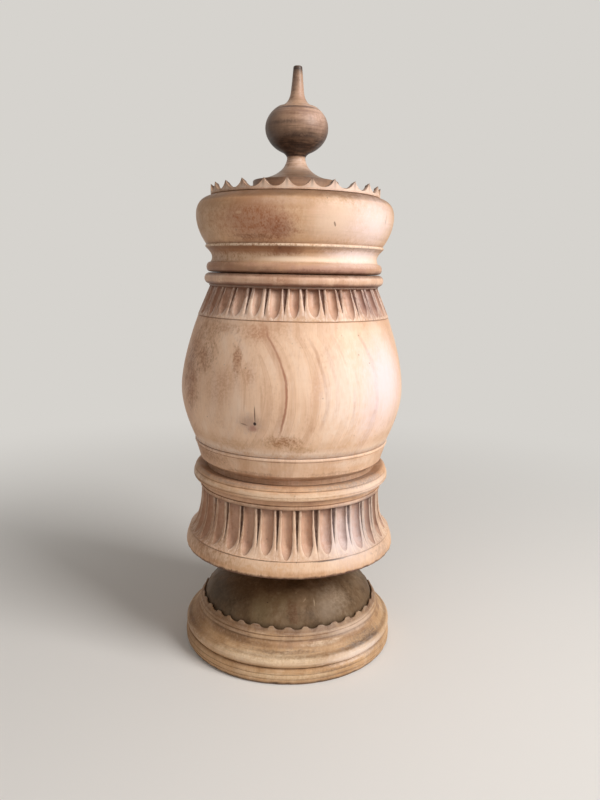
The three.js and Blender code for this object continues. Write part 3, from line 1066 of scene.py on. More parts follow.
class WoodMaterial:
    """Builds the node tree of one wood finish."""

    def __init__(self, finish: WoodFinish) -> None:
        """Makes the material, and the patterns that several of its layers share.

        Args:
            finish: The finish it shows.
        """
        self.finish = finish
        self.material = bpy.data.materials.new(finish.name)
        self.add = partial(add_node, bare_tree(self.material))
        self.place = self.add(Kind.PLACE).outputs["Object"]
        self.across, self.depth, self.height = self.add(Kind.SPLIT, self.place).outputs
        flecks = self.figure(finish.fleck_width, 3.0, finish.run.value)
        spots = self.figure(3.6, 5.0)
        self.ragged = self.add(Kind.MULTIPLY, self.add(Kind.ADD, flecks, spots), 0.5)
        dots = self.add(Kind.MASK, self.figure(1.5, 3.0), 0.4, 0.6)
        self.speckle = self.add(Kind.MULTIPLY_ADD, dots, 0.5, 0.5)
        clouds = self.add(Kind.MASK, self.figure(11.0, 4.0), 0.38, 0.6)
        self.patchy = self.add(Kind.MULTIPLY_ADD, clouds, 0.6, 0.45)
        self.colour: Source | tuple[float, ...] = linear(finish.base)
        self.reliefs: list[tuple[bpy.types.Node, float]] = []

    def figure(
        self,
        size: float,
        detail: float = 3.0,
        stretch: tuple[float, float, float] = (1, 1, 1),
        place: Source | None = None,
    ) -> bpy.types.Node:
        """Irregular figure in the wood, with features of a real size.

        Args:
            size: Width of a feature in millimetres.
            detail: Octaves of finer figure.
            stretch: How many times longer a feature is along each axis.
            place: The place it is read at, where that isn't the point itself.

        Returns:
            The figure's value, from 0 to 1.
        """
        scale = [1 / (size * MM * longer) for longer in stretch]
        mapped = self.add(Kind.STRETCH, place or self.place, Scale=scale)
        return self.add(Kind.NOISE, mapped, Scale=1.0, Detail=detail, Roughness=0.55)

    def away(self, value: Source, middle: float) -> bpy.types.Node:
        """How far a value lies from a middle, either way.

        Args:
            value: The value.
            middle: The middle.

        Returns:
            The distance.
        """
        return self.add(Kind.ABSOLUTE, self.add(Kind.SUBTRACT, value, middle))

    def paint(self, mask: Source, colour: str) -> None:
        """Lays a colour over what is there.

        Args:
            mask: Where and how strongly it goes.
            colour: The colour.
        """
        self.colour = self.add(Kind.COAT, mask, self.colour, linear(colour))

    def streak(
        self,
        figure: Source,
        low: float,
        high: float,
        strength: float,
        colour: str,
        within: Source | None = None,
    ) -> None:
        """Lays a colour where a figure goes past a value, with a soft edge.

        Args:
            figure: The figure.
            low: Where the colour starts. It may be larger than high.
            high: Where it is at its strongest.
            strength: How strong it gets.
            colour: The colour.
            within: What else it is held back by.
        """
        mask = self.add(Kind.MASK, figure, low, high, 0.0, strength)
        if within is not None:
            mask = self.add(Kind.MULTIPLY, mask, within)
        self.paint(mask, colour)

    def level(self, low: float, high: float) -> tuple[bpy.types.Node, float]:
        """Distance from the middle of a level span.

        Args:
            low: Height at which the span starts, in millimetres.
            high: Height at which it ends.

        Returns:
            How far a point lies from the middle and half the span's height, in metres.
        """
        return self.away(self.height, (low + high) / 2 * MM), (high - low) / 2 * MM

    def fibres(self) -> None:
        """Upright streaks of fibre, darker and paler."""
        finish, strength = self.finish, self.finish.fibre_strength
        fine = self.figure(finish.fibre_width, 4.0, (1, 1, finish.fibre_length))
        broad = self.figure(finish.fibre_width * 8, 3.0, (1, 1, 5))
        self.streak(fine, 0.5, 0.74, strength, finish.brown)
        self.streak(fine, 0.5, 0.28, strength, finish.pale)
        self.streak(broad, 0.5, 0.7, strength, finish.pale)
        self.streak(broad, 0.46, 0.28, strength * 0.7, finish.brown)
        self.reliefs.append((fine, 0.12 * strength))

    def year_layers(self) -> None:
        """Year layers of a flat-sawn blank, which draw bowed lines where the wall swells."""
        finish, strength = self.finish, self.finish.layer_strength
        over = self.away(self.height, finish.bow_height * MM)
        over = self.add(Kind.SMALLER, over, finish.bow_reach * MM)
        square = self.add(Kind.MULTIPLY, over, over)
        bowed = self.add(Kind.MULTIPLY_ADD, square, finish.bow / MM, self.across)
        place = self.add(Kind.JOIN, bowed, self.depth, self.height)
        layers = self.figure(finish.layer_gap, 2.0, (1, 6, 14), place)
        self.streak(layers, 0.5, 0.68, strength, finish.brown)
        self.streak(layers, 0.48, 0.3, strength, finish.pale)
        self.streak(self.away(layers, 0.56), 0.025, 0.0, strength, finish.brown)
        for line in finish.lines:
            self.year_line(line, bowed)

    def year_line(self, line: YearLine, bowed: Source) -> None:
        """One dark year line on the front of the piece.

        Args:
            line: The line.
            bowed: Place across the blank, with the bow added.
        """
        wander = self.add(Kind.MULTIPLY_ADD, self.figure(16.0), 4 * MM, bowed)
        aside = self.away(wander, (line.place + 2) * MM)
        off, half = self.level(line.low, line.high)
        ends = self.add(Kind.MASK, off, half, 0.6 * half)
        front = self.add(Kind.MASK, self.depth, 0.0, -20 * MM)
        shown = self.add(Kind.MULTIPLY, ends, front)
        width = line.width * MM
        self.streak(aside, width, 0.2 * width, line.strength, self.finish.line_colour, shown)

    def blotches(self) -> None:
        """Speckled brown clouds where old polish has sunk in, with edges drawn out by the fibre."""
        finish, strength = self.finish, self.finish.blotch_strength
        cloud = self.figure(finish.blotch_size, 2.5, Run.PATCHY.value)
        edge = self.add(Kind.MULTIPLY_ADD, self.ragged, 0.5, cloud)
        low = 0.75 + 0.16 * (0.5 - finish.blotch_share)
        self.streak(edge, low - 0.08, low + 0.2, strength, finish.brown, self.speckle)
        self.streak(edge, low - 0.1, low - 0.26, strength * 0.6, finish.pale)

    def lathe_lines(self) -> None:
        """Level rings left by the turning tool, caught by the polish here and there."""
        finish, strength = self.finish, self.finish.lathe_strength
        lines = self.figure(finish.lathe_gap, 3.0, (60, 60, 1))
        bands = self.figure(finish.lathe_gap * 5, 3.0, (12, 12, 1))
        caught = self.add(Kind.MASK, self.figure(14.0, 3.0, (2, 2, 1)), 0.38, 0.6)
        self.streak(lines, 0.52, 0.7, finish.scratch_strength, finish.grime, caught)
        self.streak(bands, 0.5, 0.7, strength, finish.brown)
        self.streak(lines, 0.47, 0.3, strength, finish.pale, caught)
        self.reliefs.append((lines, 0.1 * strength))

    def pits(self) -> None:
        """Small dark pits and worm pricks, drawn as coarse as they need to show."""
        finish = self.finish
        cells = self.add(Kind.CELLS, self.place, Scale=1 / (finish.pit_gap * MM), Randomness=1.0)
        sparse = self.add(Kind.MASK, self.figure(15.0, 3.0), 0.5, 0.62)
        self.streak(cells, 0.1, 0.05, finish.pit_strength, finish.grime, sparse)

    def zone(self, zone: Zone) -> None:
        """One level zone, with an uneven edge.

        Args:
            zone: The zone.
        """
        off, half = self.level(zone.low, zone.high)
        fade = zone.fade * MM
        rough = self.add(Kind.MULTIPLY_ADD, self.ragged, 2 * fade, off)
        edge = half + 1.5 * fade
        self.streak(rough, edge, edge - fade, zone.strength, zone.colour, self.patchy)

    def dry_flecks(self) -> None:
        """Pale dry flecks where the fibre has lost its polish."""
        finish, strength = self.finish, self.finish.dry_strength
        flecks = self.figure(1.3, 4.0, Run.PATCHY.value)
        self.streak(flecks, 0.5, 0.66, strength, finish.pale)
        self.streak(flecks, 0.46, 0.32, strength * 0.8, finish.brown)

    def mark(self, mark: Mark) -> None:
        """One stain, worn patch or crack, or one patch of painted light or painted shade.

        Args:
            mark: The mark.
        """
        centre = on_ring(mark.radius, mark.azimuth, mark.height) * MM
        turn = Euler((0, math.radians(mark.lean), math.radians(mark.azimuth)))
        size = (mark.width * MM, mark.deep * MM, mark.tall * MM)
        length = self.add(Kind.LENGTH, self.add(Kind.PATCH, self.place, centre, turn, size))
        away = self.add(Kind.MULTIPLY_ADD, self.ragged, mark.ragged * 4, length)
        edge = 1 + mark.ragged * 2 + 0.6 * max(0.0, mark.soft - 0.65)
        within = self.speckle if mark.ragged > 0.45 else None
        self.streak(away, edge, edge - mark.soft, mark.strength, mark.colour, within)

    def marks(self, over_carving: bool) -> None:
        """The marks under or over the carving's own wear.

        Args:
            over_carving: Whether it is those over it.
        """
        for mark in self.finish.marks:
            if mark.over_carving == over_carving:
                self.mark(mark)

    def worked_edges(self) -> None:
        """Fresh wood in the cuts, pale wear on the arrises, and dirt in the corners with the
        painted shade that the grime layer also carries.
        """
        cut, wear, grime = (
            self.add(Kind.CARVED, attribute_name=layer.value).outputs["Fac"]
            for layer in (Layer.CUT, Layer.WEAR, Layer.GRIME_AND_SHADE)
        )
        patchy = self.add(Kind.MASK, self.ragged, 0.35, 0.6)
        fresh = self.add(Kind.MULTIPLY_ADD, patchy, 0.35, 0.15)
        self.paint(self.add(Kind.MULTIPLY, cut, fresh), self.finish.cut)
        self.paint(self.add(Kind.MULTIPLY, wear, patchy), self.finish.pale)
        # The grime layer is dirt, and in places painted shade: on flute walls away from the window
        # lamp, on the gallery's notch walls and under the finial's ball.
        dirty = self.add(Kind.MULTIPLY_ADD, self.ragged, 1.5, 0.12)
        dirt = self.add(Kind.MULTIPLY, grime, dirty)
        self.paint(self.add(Kind.SMALLER, dirt, 0.95), self.finish.grime)

    def surface(self) -> None:
        """Joins colour, roughness and relief in the shader."""
        dull = self.finish.roughness
        rough = self.add(Kind.SPAN, self.figure(8.0, 4.0), 0.3, 0.7, dull - 0.08, dull + 0.1)
        under: dict[str, bpy.types.Node] = {}
        for figure, depth in self.reliefs:
            bump = self.add(Kind.BUMP, Height=figure, Distance=depth * MM, Strength=1.0, **under)
            under = {"Normal": bump}
        shader = self.add(
            Kind.SHADER,
            Base_Color=self.colour,
            Roughness=rough,
            Specular_IOR_Level=self.finish.sheen_level,
            **under,
        )
        self.add(Kind.MATERIAL, Surface=shader)

    def build(self) -> bpy.types.Material:
        """Builds the tree in the order in which the wood was grown, worked and used, with painted
        light and shade among its zones, marks and grime.

        Returns:
            The material.
        """
        self.fibres()
        self.year_layers()
        self.blotches()
        self.lathe_lines()
        for zone in self.finish.zones:
            self.zone(zone)
        self.marks(over_carving=False)
        if self.finish.dry_strength:
            self.dry_flecks()
        self.pits()
        self.worked_edges()
        self.marks(over_carving=True)
        self.reliefs.append((self.figure(0.9, 3.0), 0.03))
        self.surface()
        return self.material


# Limewood turned and scraped, its old polish half worn off: peach, with brown fibrous clouds.
BELLY_WOOD = WoodFinish(
    name="worn_limewood_bowl",
    base="#EFC8A8",
    pale="#FBE7D8",
    brown="#AE7650",
    grime="#58301E",
    cut="#DDAE96",
    layer_gap=9.0,
    layer_strength=0.2,
    bow=0.009,
    bow_height=191.0,
    lines=(
        YearLine(-2, 1.1, 0.6, 163, 240),
        YearLine(-2, 1.1, 0.5, 166, 214),
        YearLine(-3.5, 3.4, 0.3, 163, 236),
        YearLine(22, 1.6, 0.35, 168, 232),
        YearLine(29, 2.4, 0.25, 176, 226),
        YearLine(55, 1.8, 0.3, 168, 236),
    ),
    fibre_strength=0.16,
    blotch_strength=0.4,
    blotch_share=0.25,
    lathe_strength=0.04,
    pit_strength=0.4,
    roughness=0.5,
    zones=(
        Zone(239, 258, "#A46F56", 0.42, 2.0),
        # Painted shade: the top of the neck under the overhanging rim bead.
        Zone(251, 259, "#70422F", 0.5, 3.0),
        Zone(258.6, 266, "#9C634A", 0.4, 1.0),
        # Painted shade on the underside of the rim bead.
        Zone(258.4, 260.2, "#6A4034", 0.45, 0.8),
        Zone(132, 148.5, "#C4946A", 0.45, 1.5),
        Zone(150, 164, "#C99B70", 0.35, 6.0),
        Zone(232, 238, "#D0A280", 0.35, 4.0),
    ),
    marks=(
        # Partly brown staining, partly painted shade: the side away from the window lamp made
        # warmer and browner.
        Mark(70, -70, 200, 24, 46, "#B67648", 0.55, 0.3, soft=1.5),
        Mark(72, -62, 207, 12, 24, "#84502F", 0.8, 0.7, soft=1.3),
        Mark(75, -58, 190, 10, 13, "#945E3C", 0.75, 0.8, soft=1.2),
        Mark(75, -48, 213, 11, 11, "#9A6644", 0.7, 0.9, soft=1.1),
        Mark(70, -52, 228, 16, 9, "#A87650", 0.55, 0.7, soft=1.1),
        Mark(73, -27, 213, 4, 14, "#9E6440", 0.75, 0.6, lean=-8, soft=0.9),
        Mark(75, -20, 205, 5, 8, "#B67E5A", 0.5, 0.7, lean=-20, soft=1.0),
        Mark(75, -36, 196, 12, 14, "#C08C6C", 0.45, 0.8, soft=1.1),
        Mark(64, -18, 230, 14, 8, "#B07048", 0.6, 0.6, soft=1.0),
        Mark(66, -40, 232, 18, 5, "#B4805A", 0.55, 0.6, soft=1.0),
        Mark(62, 10, 238, 20, 3, "#C79A70", 0.5, 0.6, soft=1.0),
        Mark(74, 12, 197, 6, 16, "#D2A083", 0.45, 0.7, lean=4),
        Mark(76, -19, 175, 9, 7, "#B89480", 0.75, 0.4, soft=1.2),
        Mark(76.5, -16.5, 175, 1.3, 1.5, "#2E1A14", 1.0, 0.08, soft=0.5, deep=6),
        Mark(76, -16.3, 181, 0.5, 7, "#5A3A2C", 0.85, 0.08, soft=0.5, deep=6),
        Mark(76, -17.5, 171.5, 3.4, 2.6, "#A86E60", 0.6, 0.4, soft=0.9, deep=8),
        Mark(76, -22, 174, 3.0, 0.6, "#7A5644", 0.6, 0.2, lean=14, soft=0.5, deep=8),
        Mark(73, -3, 163.5, 14, 5, "#A06A3C", 0.85, 0.6, soft=1.0),
        Mark(72, 5, 158, 13, 3, "#B3855A", 0.6, 0.6, soft=0.9),
        Mark(72, -32, 158, 22, 5, "#C39670", 0.5, 0.6, soft=1.0),
        Mark(66, -56, 146, 26, 6, "#94623E", 0.65, 0.5, soft=1.2),
        Mark(66, -22, 139.5, 26, 1.8, "#8A5E44", 0.5, 0.7),
        Mark(66, 28, 140, 24, 1.8, "#A27A60", 0.5, 0.7),
        # Painted light over some pale wear: this and the next four marks, at azimuth 26 to 52, pale
        # the side towards the window lamp; the thin line at azimuth 31 among them is a real streak.
        Mark(68, 40, 146, 26, 3, "#F2D9C6", 0.5, 0.5, soft=1.0),
        Mark(76, 52, 200, 26, 32, "#F3DDDF", 0.85, 0.3, soft=1.5),
        Mark(76, 40, 175, 12, 18, "#E9D2D0", 0.4, 0.5, soft=1.2),
        Mark(77, 31, 187, 1.6, 16, "#C9A9A0", 0.5, 0.5, soft=0.9),
        Mark(76, 26, 196, 16, 34, "#F9E4D6", 0.5, 0.4, soft=1.2),
        # Painted shade: the neck browner on the side away from the window lamp.
        Mark(60, -62, 246, 26, 13, "#7E4A2C", 0.7, 0.4, soft=1.3),
        Mark(60, -38, 253, 12, 7, "#946650", 0.45, 0.5, soft=1.0),
        Mark(62, -30, 264, 16, 2.2, "#DDB298", 0.6, 0.7, soft=1.0),
        Mark(62, 12, 263, 14, 1.8, "#D9AC92", 0.6, 0.7, soft=1.0),
        Mark(62, -8, 262, 10, 3, "#8C5238", 0.5, 0.6, soft=1.0),
        Mark(62, 44, 264, 18, 2.4, "#EFD0BE", 0.6, 0.7, soft=1.0),
        Mark(60, 54, 248, 22, 12, "#8A6660", 0.65, 0.4, soft=1.3),
        # Painted shade over the carving, which dulls the flutes on the side away from the window
        # lamp.
        Mark(60, -56, 248, 30, 11, "#96684C", 0.6, 0.4, soft=1.3, over_carving=True),
        Mark(60, 56, 246, 16, 11, "#8A6660", 0.35, 0.4, soft=1.3, over_carving=True),
    ),
)

# The same wood under the lid's darker old polish, streaked level by the cloth.
LID_WOOD = WoodFinish(
    name="worn_limewood_lid",
    base="#D6A880",
    pale="#F3DABF",
    brown="#9A643C",
    grime="#55301C",
    cut="#CFA189",
    run=Run.PATCHY,
    layer_strength=0.08,
    fibre_strength=0.12,
    blotch_size=20.0,
    blotch_share=0.4,
    blotch_strength=0.34,
    lathe_strength=0.26,
    scratch_strength=0.1,
    roughness=0.5,
    zones=(
        Zone(304, 317, "#AC8059", 0.35, 4.0),
        Zone(311.5, 316.5, "#866240", 0.55, 1.5),
        Zone(278.6, 283, "#9A6C48", 0.4, 1.2),
        Zone(266, 272.8, "#B0806C", 0.45, 0.8),
        Zone(266, 268.6, "#7C5448", 0.45, 0.8),
    ),
    marks=(
        # Painted shade over the brown polish: browner on the side away from the window lamp.
        Mark(64, -66, 298, 26, 20, "#8C6038", 0.6, 0.3, soft=1.4),
        Mark(65, -24, 298, 30, 15, "#A4623C", 0.62, 0.3, soft=1.4),
        Mark(66, -20, 297, 24, 14, "#A05C34", 0.65, 0.15, soft=1.1),
        Mark(66, -9, 294, 13, 11, "#985430", 0.6, 0.2, soft=0.9),
        Mark(66, -6, 292, 10, 6, "#854826", 0.55, 0.5, soft=1.2),
        # Painted light: paler towards the window lamp.
        Mark(66, 24, 297, 18, 15, "#F0D0BC", 0.6, 0.3, soft=1.3),
        Mark(66, 16, 304, 14, 5, "#D8A488", 0.4, 0.5, soft=1.1),
        Mark(64, -50, 308, 30, 5, "#A87C54", 0.5, 0.6, soft=1.0),
        Mark(66, -24, 288, 20, 2.4, "#7C4C2C", 0.6, 0.6),
        Mark(66, -6, 309, 24, 3.5, "#D9B49A", 0.55, 0.5, soft=1.0),
        Mark(66, -30, 302, 3, 1.2, "#DDB896", 0.5, 0.4),
        Mark(58, -28, 281, 36, 5.5, "#8E5834", 0.65, 0.3, soft=1.2),
        Mark(58, -6, 280, 16, 5.0, "#86502E", 0.6, 0.25, soft=1.1),
        Mark(58, -4, 280, 10, 2.4, "#744428", 0.4, 0.5, soft=1.0),
        # Painted shade: the cove browner on the side away from the window lamp.
        Mark(57, -62, 277, 26, 10, "#8A5428", 0.75, 0.3, soft=1.2),
        # Painted light: this and the next two pale patches, the cove's among them, pale the side
        # towards the window lamp.
        Mark(66, 50, 298, 26, 17, "#FAE2DE", 0.85, 0.3, soft=1.5),
        Mark(66, 22, 302, 14, 11, "#EBCBB0", 0.55, 0.5, soft=1.2),
        Mark(58, 46, 277, 36, 6, "#FAE6E0", 0.95, 0.25, soft=1.2),
        Mark(57, 6, 275, 40, 2.0, "#F3D6BA", 0.8, 0.4, soft=0.9),
        # Painted shadow under the bead, on the side towards the window lamp.
        Mark(59, 40, 283, 30, 1.6, "#A89084", 0.5, 0.5),
        Mark(60, 30, 269.5, 60, 3.0, "#B58A7C", 0.6, 0.4, soft=1.0),
        Mark(60, -40, 269.5, 60, 3.0, "#8C6248", 0.6, 0.4, soft=1.0),
        Mark(60, 14, 268, 20, 1.4, "#7A4E3C", 0.6, 0.7, soft=1.0),
        Mark(60, -24, 271, 14, 1.2, "#D0A084", 0.6, 0.6, soft=1.0),
        Mark(60, 46, 271, 22, 1.2, "#E0BCA8", 0.6, 0.6, soft=1.0),
        Mark(67, 61, 301, 1.2, 5, "#A58E86", 0.6, 0.5),
        Mark(66.5, 22, 296, 0.7, 1.8, "#6E4C38", 0.8, 0.2, lean=-25, soft=0.4),
    ),
)

# Bare knife-cut limewood: pinkish where the gallery was carved.
GALLERY_WOOD = WoodFinish(
    name="carved_limewood_gallery",
    base="#E2BA9C",
    pale="#F8E3D2",
    brown="#A87A60",
    grime="#3E281F",
    cut="#D3AB92",
    lathe_strength=0.06,
    blotch_size=9.0,
    roughness=0.62,
    marks=(
        # Painted shade on the side away from the window lamp; the next mark is painted light on the
        # side towards it.
        Mark(57, -60, 320, 40, 8, "#94704F", 0.5, 0.4, soft=1.2),
        Mark(57, 40, 320, 40, 8, "#F6DCCE", 0.5, 0.4, soft=1.2),
    ),
)

# The finial has kept its dark polish, rubbed through on the high spots; its ball also has painted
# shade and a painted highlight.
FINIAL_WOOD = WoodFinish(
    name="patinated_limewood_finial",
    base="#C29A7C",
    pale="#DFBCA4",
    brown="#7C5642",
    grime="#2E1D17",
    cut="#A98168",
    run=Run.ROUND,
    layer_strength=0.1,
    fibre_strength=0.1,
    blotch_size=12.0,
    lathe_gap=0.9,
    lathe_strength=0.4,
    scratch_strength=0.35,
    roughness=0.44,
    zones=(
        Zone(321, 330, "#73553F", 0.45, 2.0),
        Zone(377, 401, "#80614C", 0.55, 3.0),
    ),
    marks=(
        # Painted shade on the ball's side away from the window lamp; the next mark is a painted
        # highlight on its upper side towards the lamp.
        Mark(15, -66, 360, 13, 20, "#43302A", 0.8, 0.3, soft=1.2),
        Mark(18, 42, 366, 13, 10, "#E0B8A4", 0.85, 0.5, soft=1.2),
        Mark(20, 82, 358, 8, 13, "#5E463C", 0.5, 0.4, soft=1.0),
        Mark(10, 0, 372, 20, 1.2, "#4C342A", 0.7, 0.4, deep=30),
        Mark(20, 8, 354, 16, 2.2, "#3E2A24", 0.7, 0.6, soft=0.9),
        Mark(20, -20, 362, 14, 1.6, "#4E3930", 0.6, 0.6, soft=0.9),
        Mark(19, 22, 369, 12, 1.2, "#7C5A4A", 0.6, 0.6, soft=0.9),
        Mark(5, -50, 345, 6, 9, "#8A6850", 0.4, 0.4),
        Mark(5, 40, 384, 4, 10, "#C49A86", 0.5, 0.5),
        Mark(4, -40, 390, 4, 12, "#5E4436", 0.7, 0.4),
    ),
)

# Gouged limewood of the skirt: pale lands with pinkish flutes between them.
SKIRT_WOOD = WoodFinish(
    name="carved_limewood_skirt",
    base="#E4BC9A",
    pale="#FBE4CE",
    brown="#A06C48",
    grime="#48281A",
    cut="#D2A48E",
    blotch_size=13.0,
    blotch_strength=0.26,
    lathe_strength=0.05,
    roughness=0.58,
    dry_strength=0.04,
    zones=(
        Zone(85.5, 118, "#B88D74", 0.35, 1.5),
        # Painted shade: the tops of the flutes under the overhanging collar.
        Zone(111, 118.5, "#835A46", 0.45, 3.5),
        Zone(73, 84, "#D9A06C", 0.35, 1.2),
        Zone(73, 75.6, "#8E5E3C", 0.5, 0.9),
    ),
    marks=(
        # Painted shade: browner on the side away from the window lamp.
        Mark(68, -62, 98, 32, 30, "#87532F", 0.6, 0.4, soft=1.4),
        Mark(66, -34, 104, 16, 18, "#A0704E", 0.5, 0.6, soft=1.2),
        # Painted light: the flutes paler and cooler towards the window lamp.
        Mark(66, 40, 98, 26, 22, "#E4D8DA", 0.5, 0.3, soft=1.5),
        Mark(66, 58, 104, 18, 22, "#857470", 0.6, 0.4, soft=1.3),
        # Painted shadow of the collar on the tops of the flutes, towards the window lamp.
        Mark(66, 40, 113, 40, 5, "#7A5E58", 0.45, 0.5, soft=1.1),
        # Over the carving: painted shade that dulls the flutes on the side away from the window
        # lamp, and next painted light that pales them on the side towards it.
        Mark(68, -60, 100, 32, 24, "#A06E4C", 0.45, 0.4, soft=1.4, over_carving=True),
        Mark(66, 36, 96, 18, 18, "#E8DCDE", 0.35, 0.4, soft=1.4, over_carving=True),
        Mark(74, 22, 84.4, 15, 0.5, "#3A251B", 0.8, 0.3),
        Mark(75, -20, 79, 34, 3.0, "#D29E6C", 0.55, 0.5, soft=1.0),
        Mark(76, -46, 80, 26, 5, "#A8744C", 0.6, 0.6, soft=1.1),
        Mark(76, 10, 77, 30, 2.2, "#B98A64", 0.55, 0.7, soft=0.9),
        Mark(75, 30, 74.5, 36, 1.6, "#5E3F2E", 0.75, 0.9),
        Mark(75, -30, 74.5, 46, 1.8, "#5E3F2E", 0.75, 0.9),
        Mark(74, 60, 80, 16, 6, "#A08478", 0.5, 0.5, soft=1.0),
    ),
)

# Turned limewood of the collar, handled and waxed.
COLLAR_WOOD = WoodFinish(
    name="waxed_limewood_collar",
    base="#DCAF88",
    pale="#F6DABE",
    brown="#986440",
    grime="#50301F",
    cut="#D6AD89",
    run=Run.ROUND,
    layer_strength=0.08,
    fibre_strength=0.12,
    blotch_size=16.0,
    blotch_strength=0.45,
    lathe_strength=0.26,
    scratch_strength=0.14,
    roughness=0.54,
    dry_strength=0.04,
    zones=(
        Zone(119, 123, "#BC8E74", 0.4, 0.8),
        Zone(131.4, 133.0, "#84624E", 0.2, 0.5),
    ),
    marks=(
        # Painted shade on the side away from the window lamp.
        Mark(66, -72, 126, 26, 12, "#7E5A3C", 0.55, 0.4, soft=1.3),
        Mark(68, 0, 126, 60, 2.4, "#F4D9BC", 0.6, 0.5, soft=0.9),
        # Painted light on the side towards the window lamp.
        Mark(67, 50, 127, 30, 6, "#F0DDD2", 0.5, 0.4, soft=1.0),
        Mark(69, -40, 124, 30, 3, "#A87A5A", 0.6, 0.6, soft=1.1),
        Mark(64, 36, 132, 34, 3.0, "#86786E", 0.65, 0.5, soft=1.1),
        Mark(69, 14, 122, 30, 1.6, "#B08468", 0.5, 0.6, soft=1.1),
        Mark(69, 44, 124, 24, 1.4, "#A88C7C", 0.5, 0.7, soft=1.0),
        Mark(66, 50, 131, 24, 3, "#A99184", 0.6, 0.5),
        Mark(64, -30, 132, 40, 2.0, "#9C8478", 0.5, 0.5),
    ),
)

# Limewood stained nearly black-brown, dull and scuffed.
PEDESTAL_WOOD = WoodFinish(
    name="dark_stained_limewood_pedestal",
    base="#6C533A",
    pale="#968066",
    brown="#48331D",
    grime="#251A10",
    cut="#6A543F",
    fleck_width=2.4,
    fibre_width=2.0,
    fibre_length=6.0,
    fibre_strength=0.32,
    blotch_size=12.0,
    blotch_share=0.45,
    blotch_strength=0.7,
    lathe_strength=0.06,
    roughness=0.55,
    sheen_level=0.22,
    dry_strength=0.06,
    marks=(
        Mark(54, 30, 47, 10, 16, "#9C8872", 0.45, 0.3, lean=14, soft=1.5),
        Mark(56, -18, 44, 9, 14, "#857352", 0.4, 0.3, lean=-8, soft=1.5),
        Mark(54, -2, 50, 7, 9, "#8E7A58", 0.35, 0.3, lean=10, soft=1.4),
        # Painted light: paler towards the window lamp.
        Mark(52, 40, 48, 12, 12, "#9E8A74", 0.65, 0.5, soft=1.1),
        Mark(52, 12, 50, 6, 12, "#8D7257", 0.55, 0.6, lean=20),
        Mark(56, 4, 42, 5, 14, "#5E3A22", 0.65, 0.6, lean=-12),
        # Painted shade on the side away from the window lamp.
        Mark(58, -55, 42, 30, 16, "#33240F", 0.55, 0.4, soft=1.2),
        Mark(58, 14, 47.5, 3.2, 0.6, "#B8A184", 0.8, 0.4, lean=-32),
        Mark(58, 21, 46.5, 0.6, 3.0, "#B8A184", 0.8, 0.4, lean=18),
        Mark(56, 8, 50.5, 4.0, 0.5, "#A8906F", 0.7, 0.4, lean=-18),
    ),
)

# Limewood of the foot, greyed by dust and scuffed level by handling.
PLINTH_WOOD = WoodFinish(
    name="worn_limewood_plinth",
    base="#CBA074",
    pale="#F4DABE",
    brown="#8C623A",
    grime="#402A18",
    cut="#C4A07C",
    run=Run.ROUND,
    fleck_width=0.8,
    layer_strength=0.08,
    fibre_strength=0.14,
    blotch_size=13.0,
    blotch_share=0.4,
    lathe_gap=1.1,
    lathe_strength=0.3,
    scratch_strength=0.28,
    dry_strength=0.09,
    zones=(
        Zone(22.5, 36, "#936C4C", 0.8, 2.2),
        Zone(30.5, 36, "#7C5A44", 0.55, 1.0),
        Zone(2, 10.6, "#B8906A", 0.15, 1.0),
        Zone(0, 1.4, "#6E4A2E", 0.6, 0.9),
    ),
    marks=(
        # Painted shade on the side away from the window lamp.
        Mark(72, -70, 16, 28, 20, "#704620", 0.65, 0.3, soft=1.4),
        Mark(70, -34, 25, 22, 3.6, "#6E4E30", 0.6, 0.7, soft=1.1),
        Mark(70, 30, 27.5, 18, 2.2, "#705640", 0.6, 0.7, soft=1.0),
        Mark(65, -48, 32, 30, 6, "#8A6848", 0.7, 0.3, soft=1.4, over_carving=True),
        Mark(63, 24, 33, 22, 4, "#B49884", 0.5, 0.5, soft=1.2),
        Mark(72, -20, 24, 34, 2.0, "#7E5C3C", 0.5, 0.6, soft=0.8),
        Mark(74, -8, 17.5, 60, 4.2, "#F8DCB8", 0.7, 0.5, soft=1.2),
        Mark(75, -20, 12.6, 46, 1.4, "#9A7450", 0.5, 0.7, soft=0.9),
        # Painted light: the slope paler on the side towards the window lamp.
        Mark(67, 46, 28, 30, 4, "#DCC0AC", 0.6, 0.4, soft=1.0),
        Mark(69, 8, 25, 26, 2.0, "#C69C7C", 0.6, 0.6, soft=1.1),
        Mark(70, -46, 22, 20, 2.4, "#B88E62", 0.55, 0.6, soft=1.1),
        Mark(75, 56, 14, 20, 8, "#9C8474", 0.5, 0.6, soft=1.1),
        Mark(71, -2, 20.5, 30, 1.6, "#7A5838", 0.7, 0.9),
        Mark(72, 48, 19, 26, 1.6, "#5C4A3C", 0.7, 0.9),
        Mark(72, 50, 21, 26, 3, "#806A58", 0.6, 0.5),
        # Painted light: the torus paler towards the window lamp.
        Mark(74, 40, 14, 30, 5, "#FBE8DA", 0.7, 0.4, soft=1.1),
        Mark(75, 30, 8, 26, 1.4, "#7C6048", 0.6, 0.7),
        Mark(75, 26, 4.6, 26, 1.0, "#7C6048", 0.5, 0.7),
        Mark(75, 0, 6, 50, 3.0, "#EBD0AC", 0.55, 0.5, soft=1.0),
        Mark(70, 20, 24, 20, 2.0, "#EED4B6", 0.5, 0.5),
    ),
)

# Plain beech rod, straight from the dowel plate.
DOWEL_WOOD = WoodFinish(
    name="planed_beech_dowel",
    base="#D8BB92",
    pale="#E6CFAC",
    brown="#B08A5C",
    grime="#6A4A30",
    cut="#D8BB92",
    layer_gap=2.5,
    roughness=0.7,
)


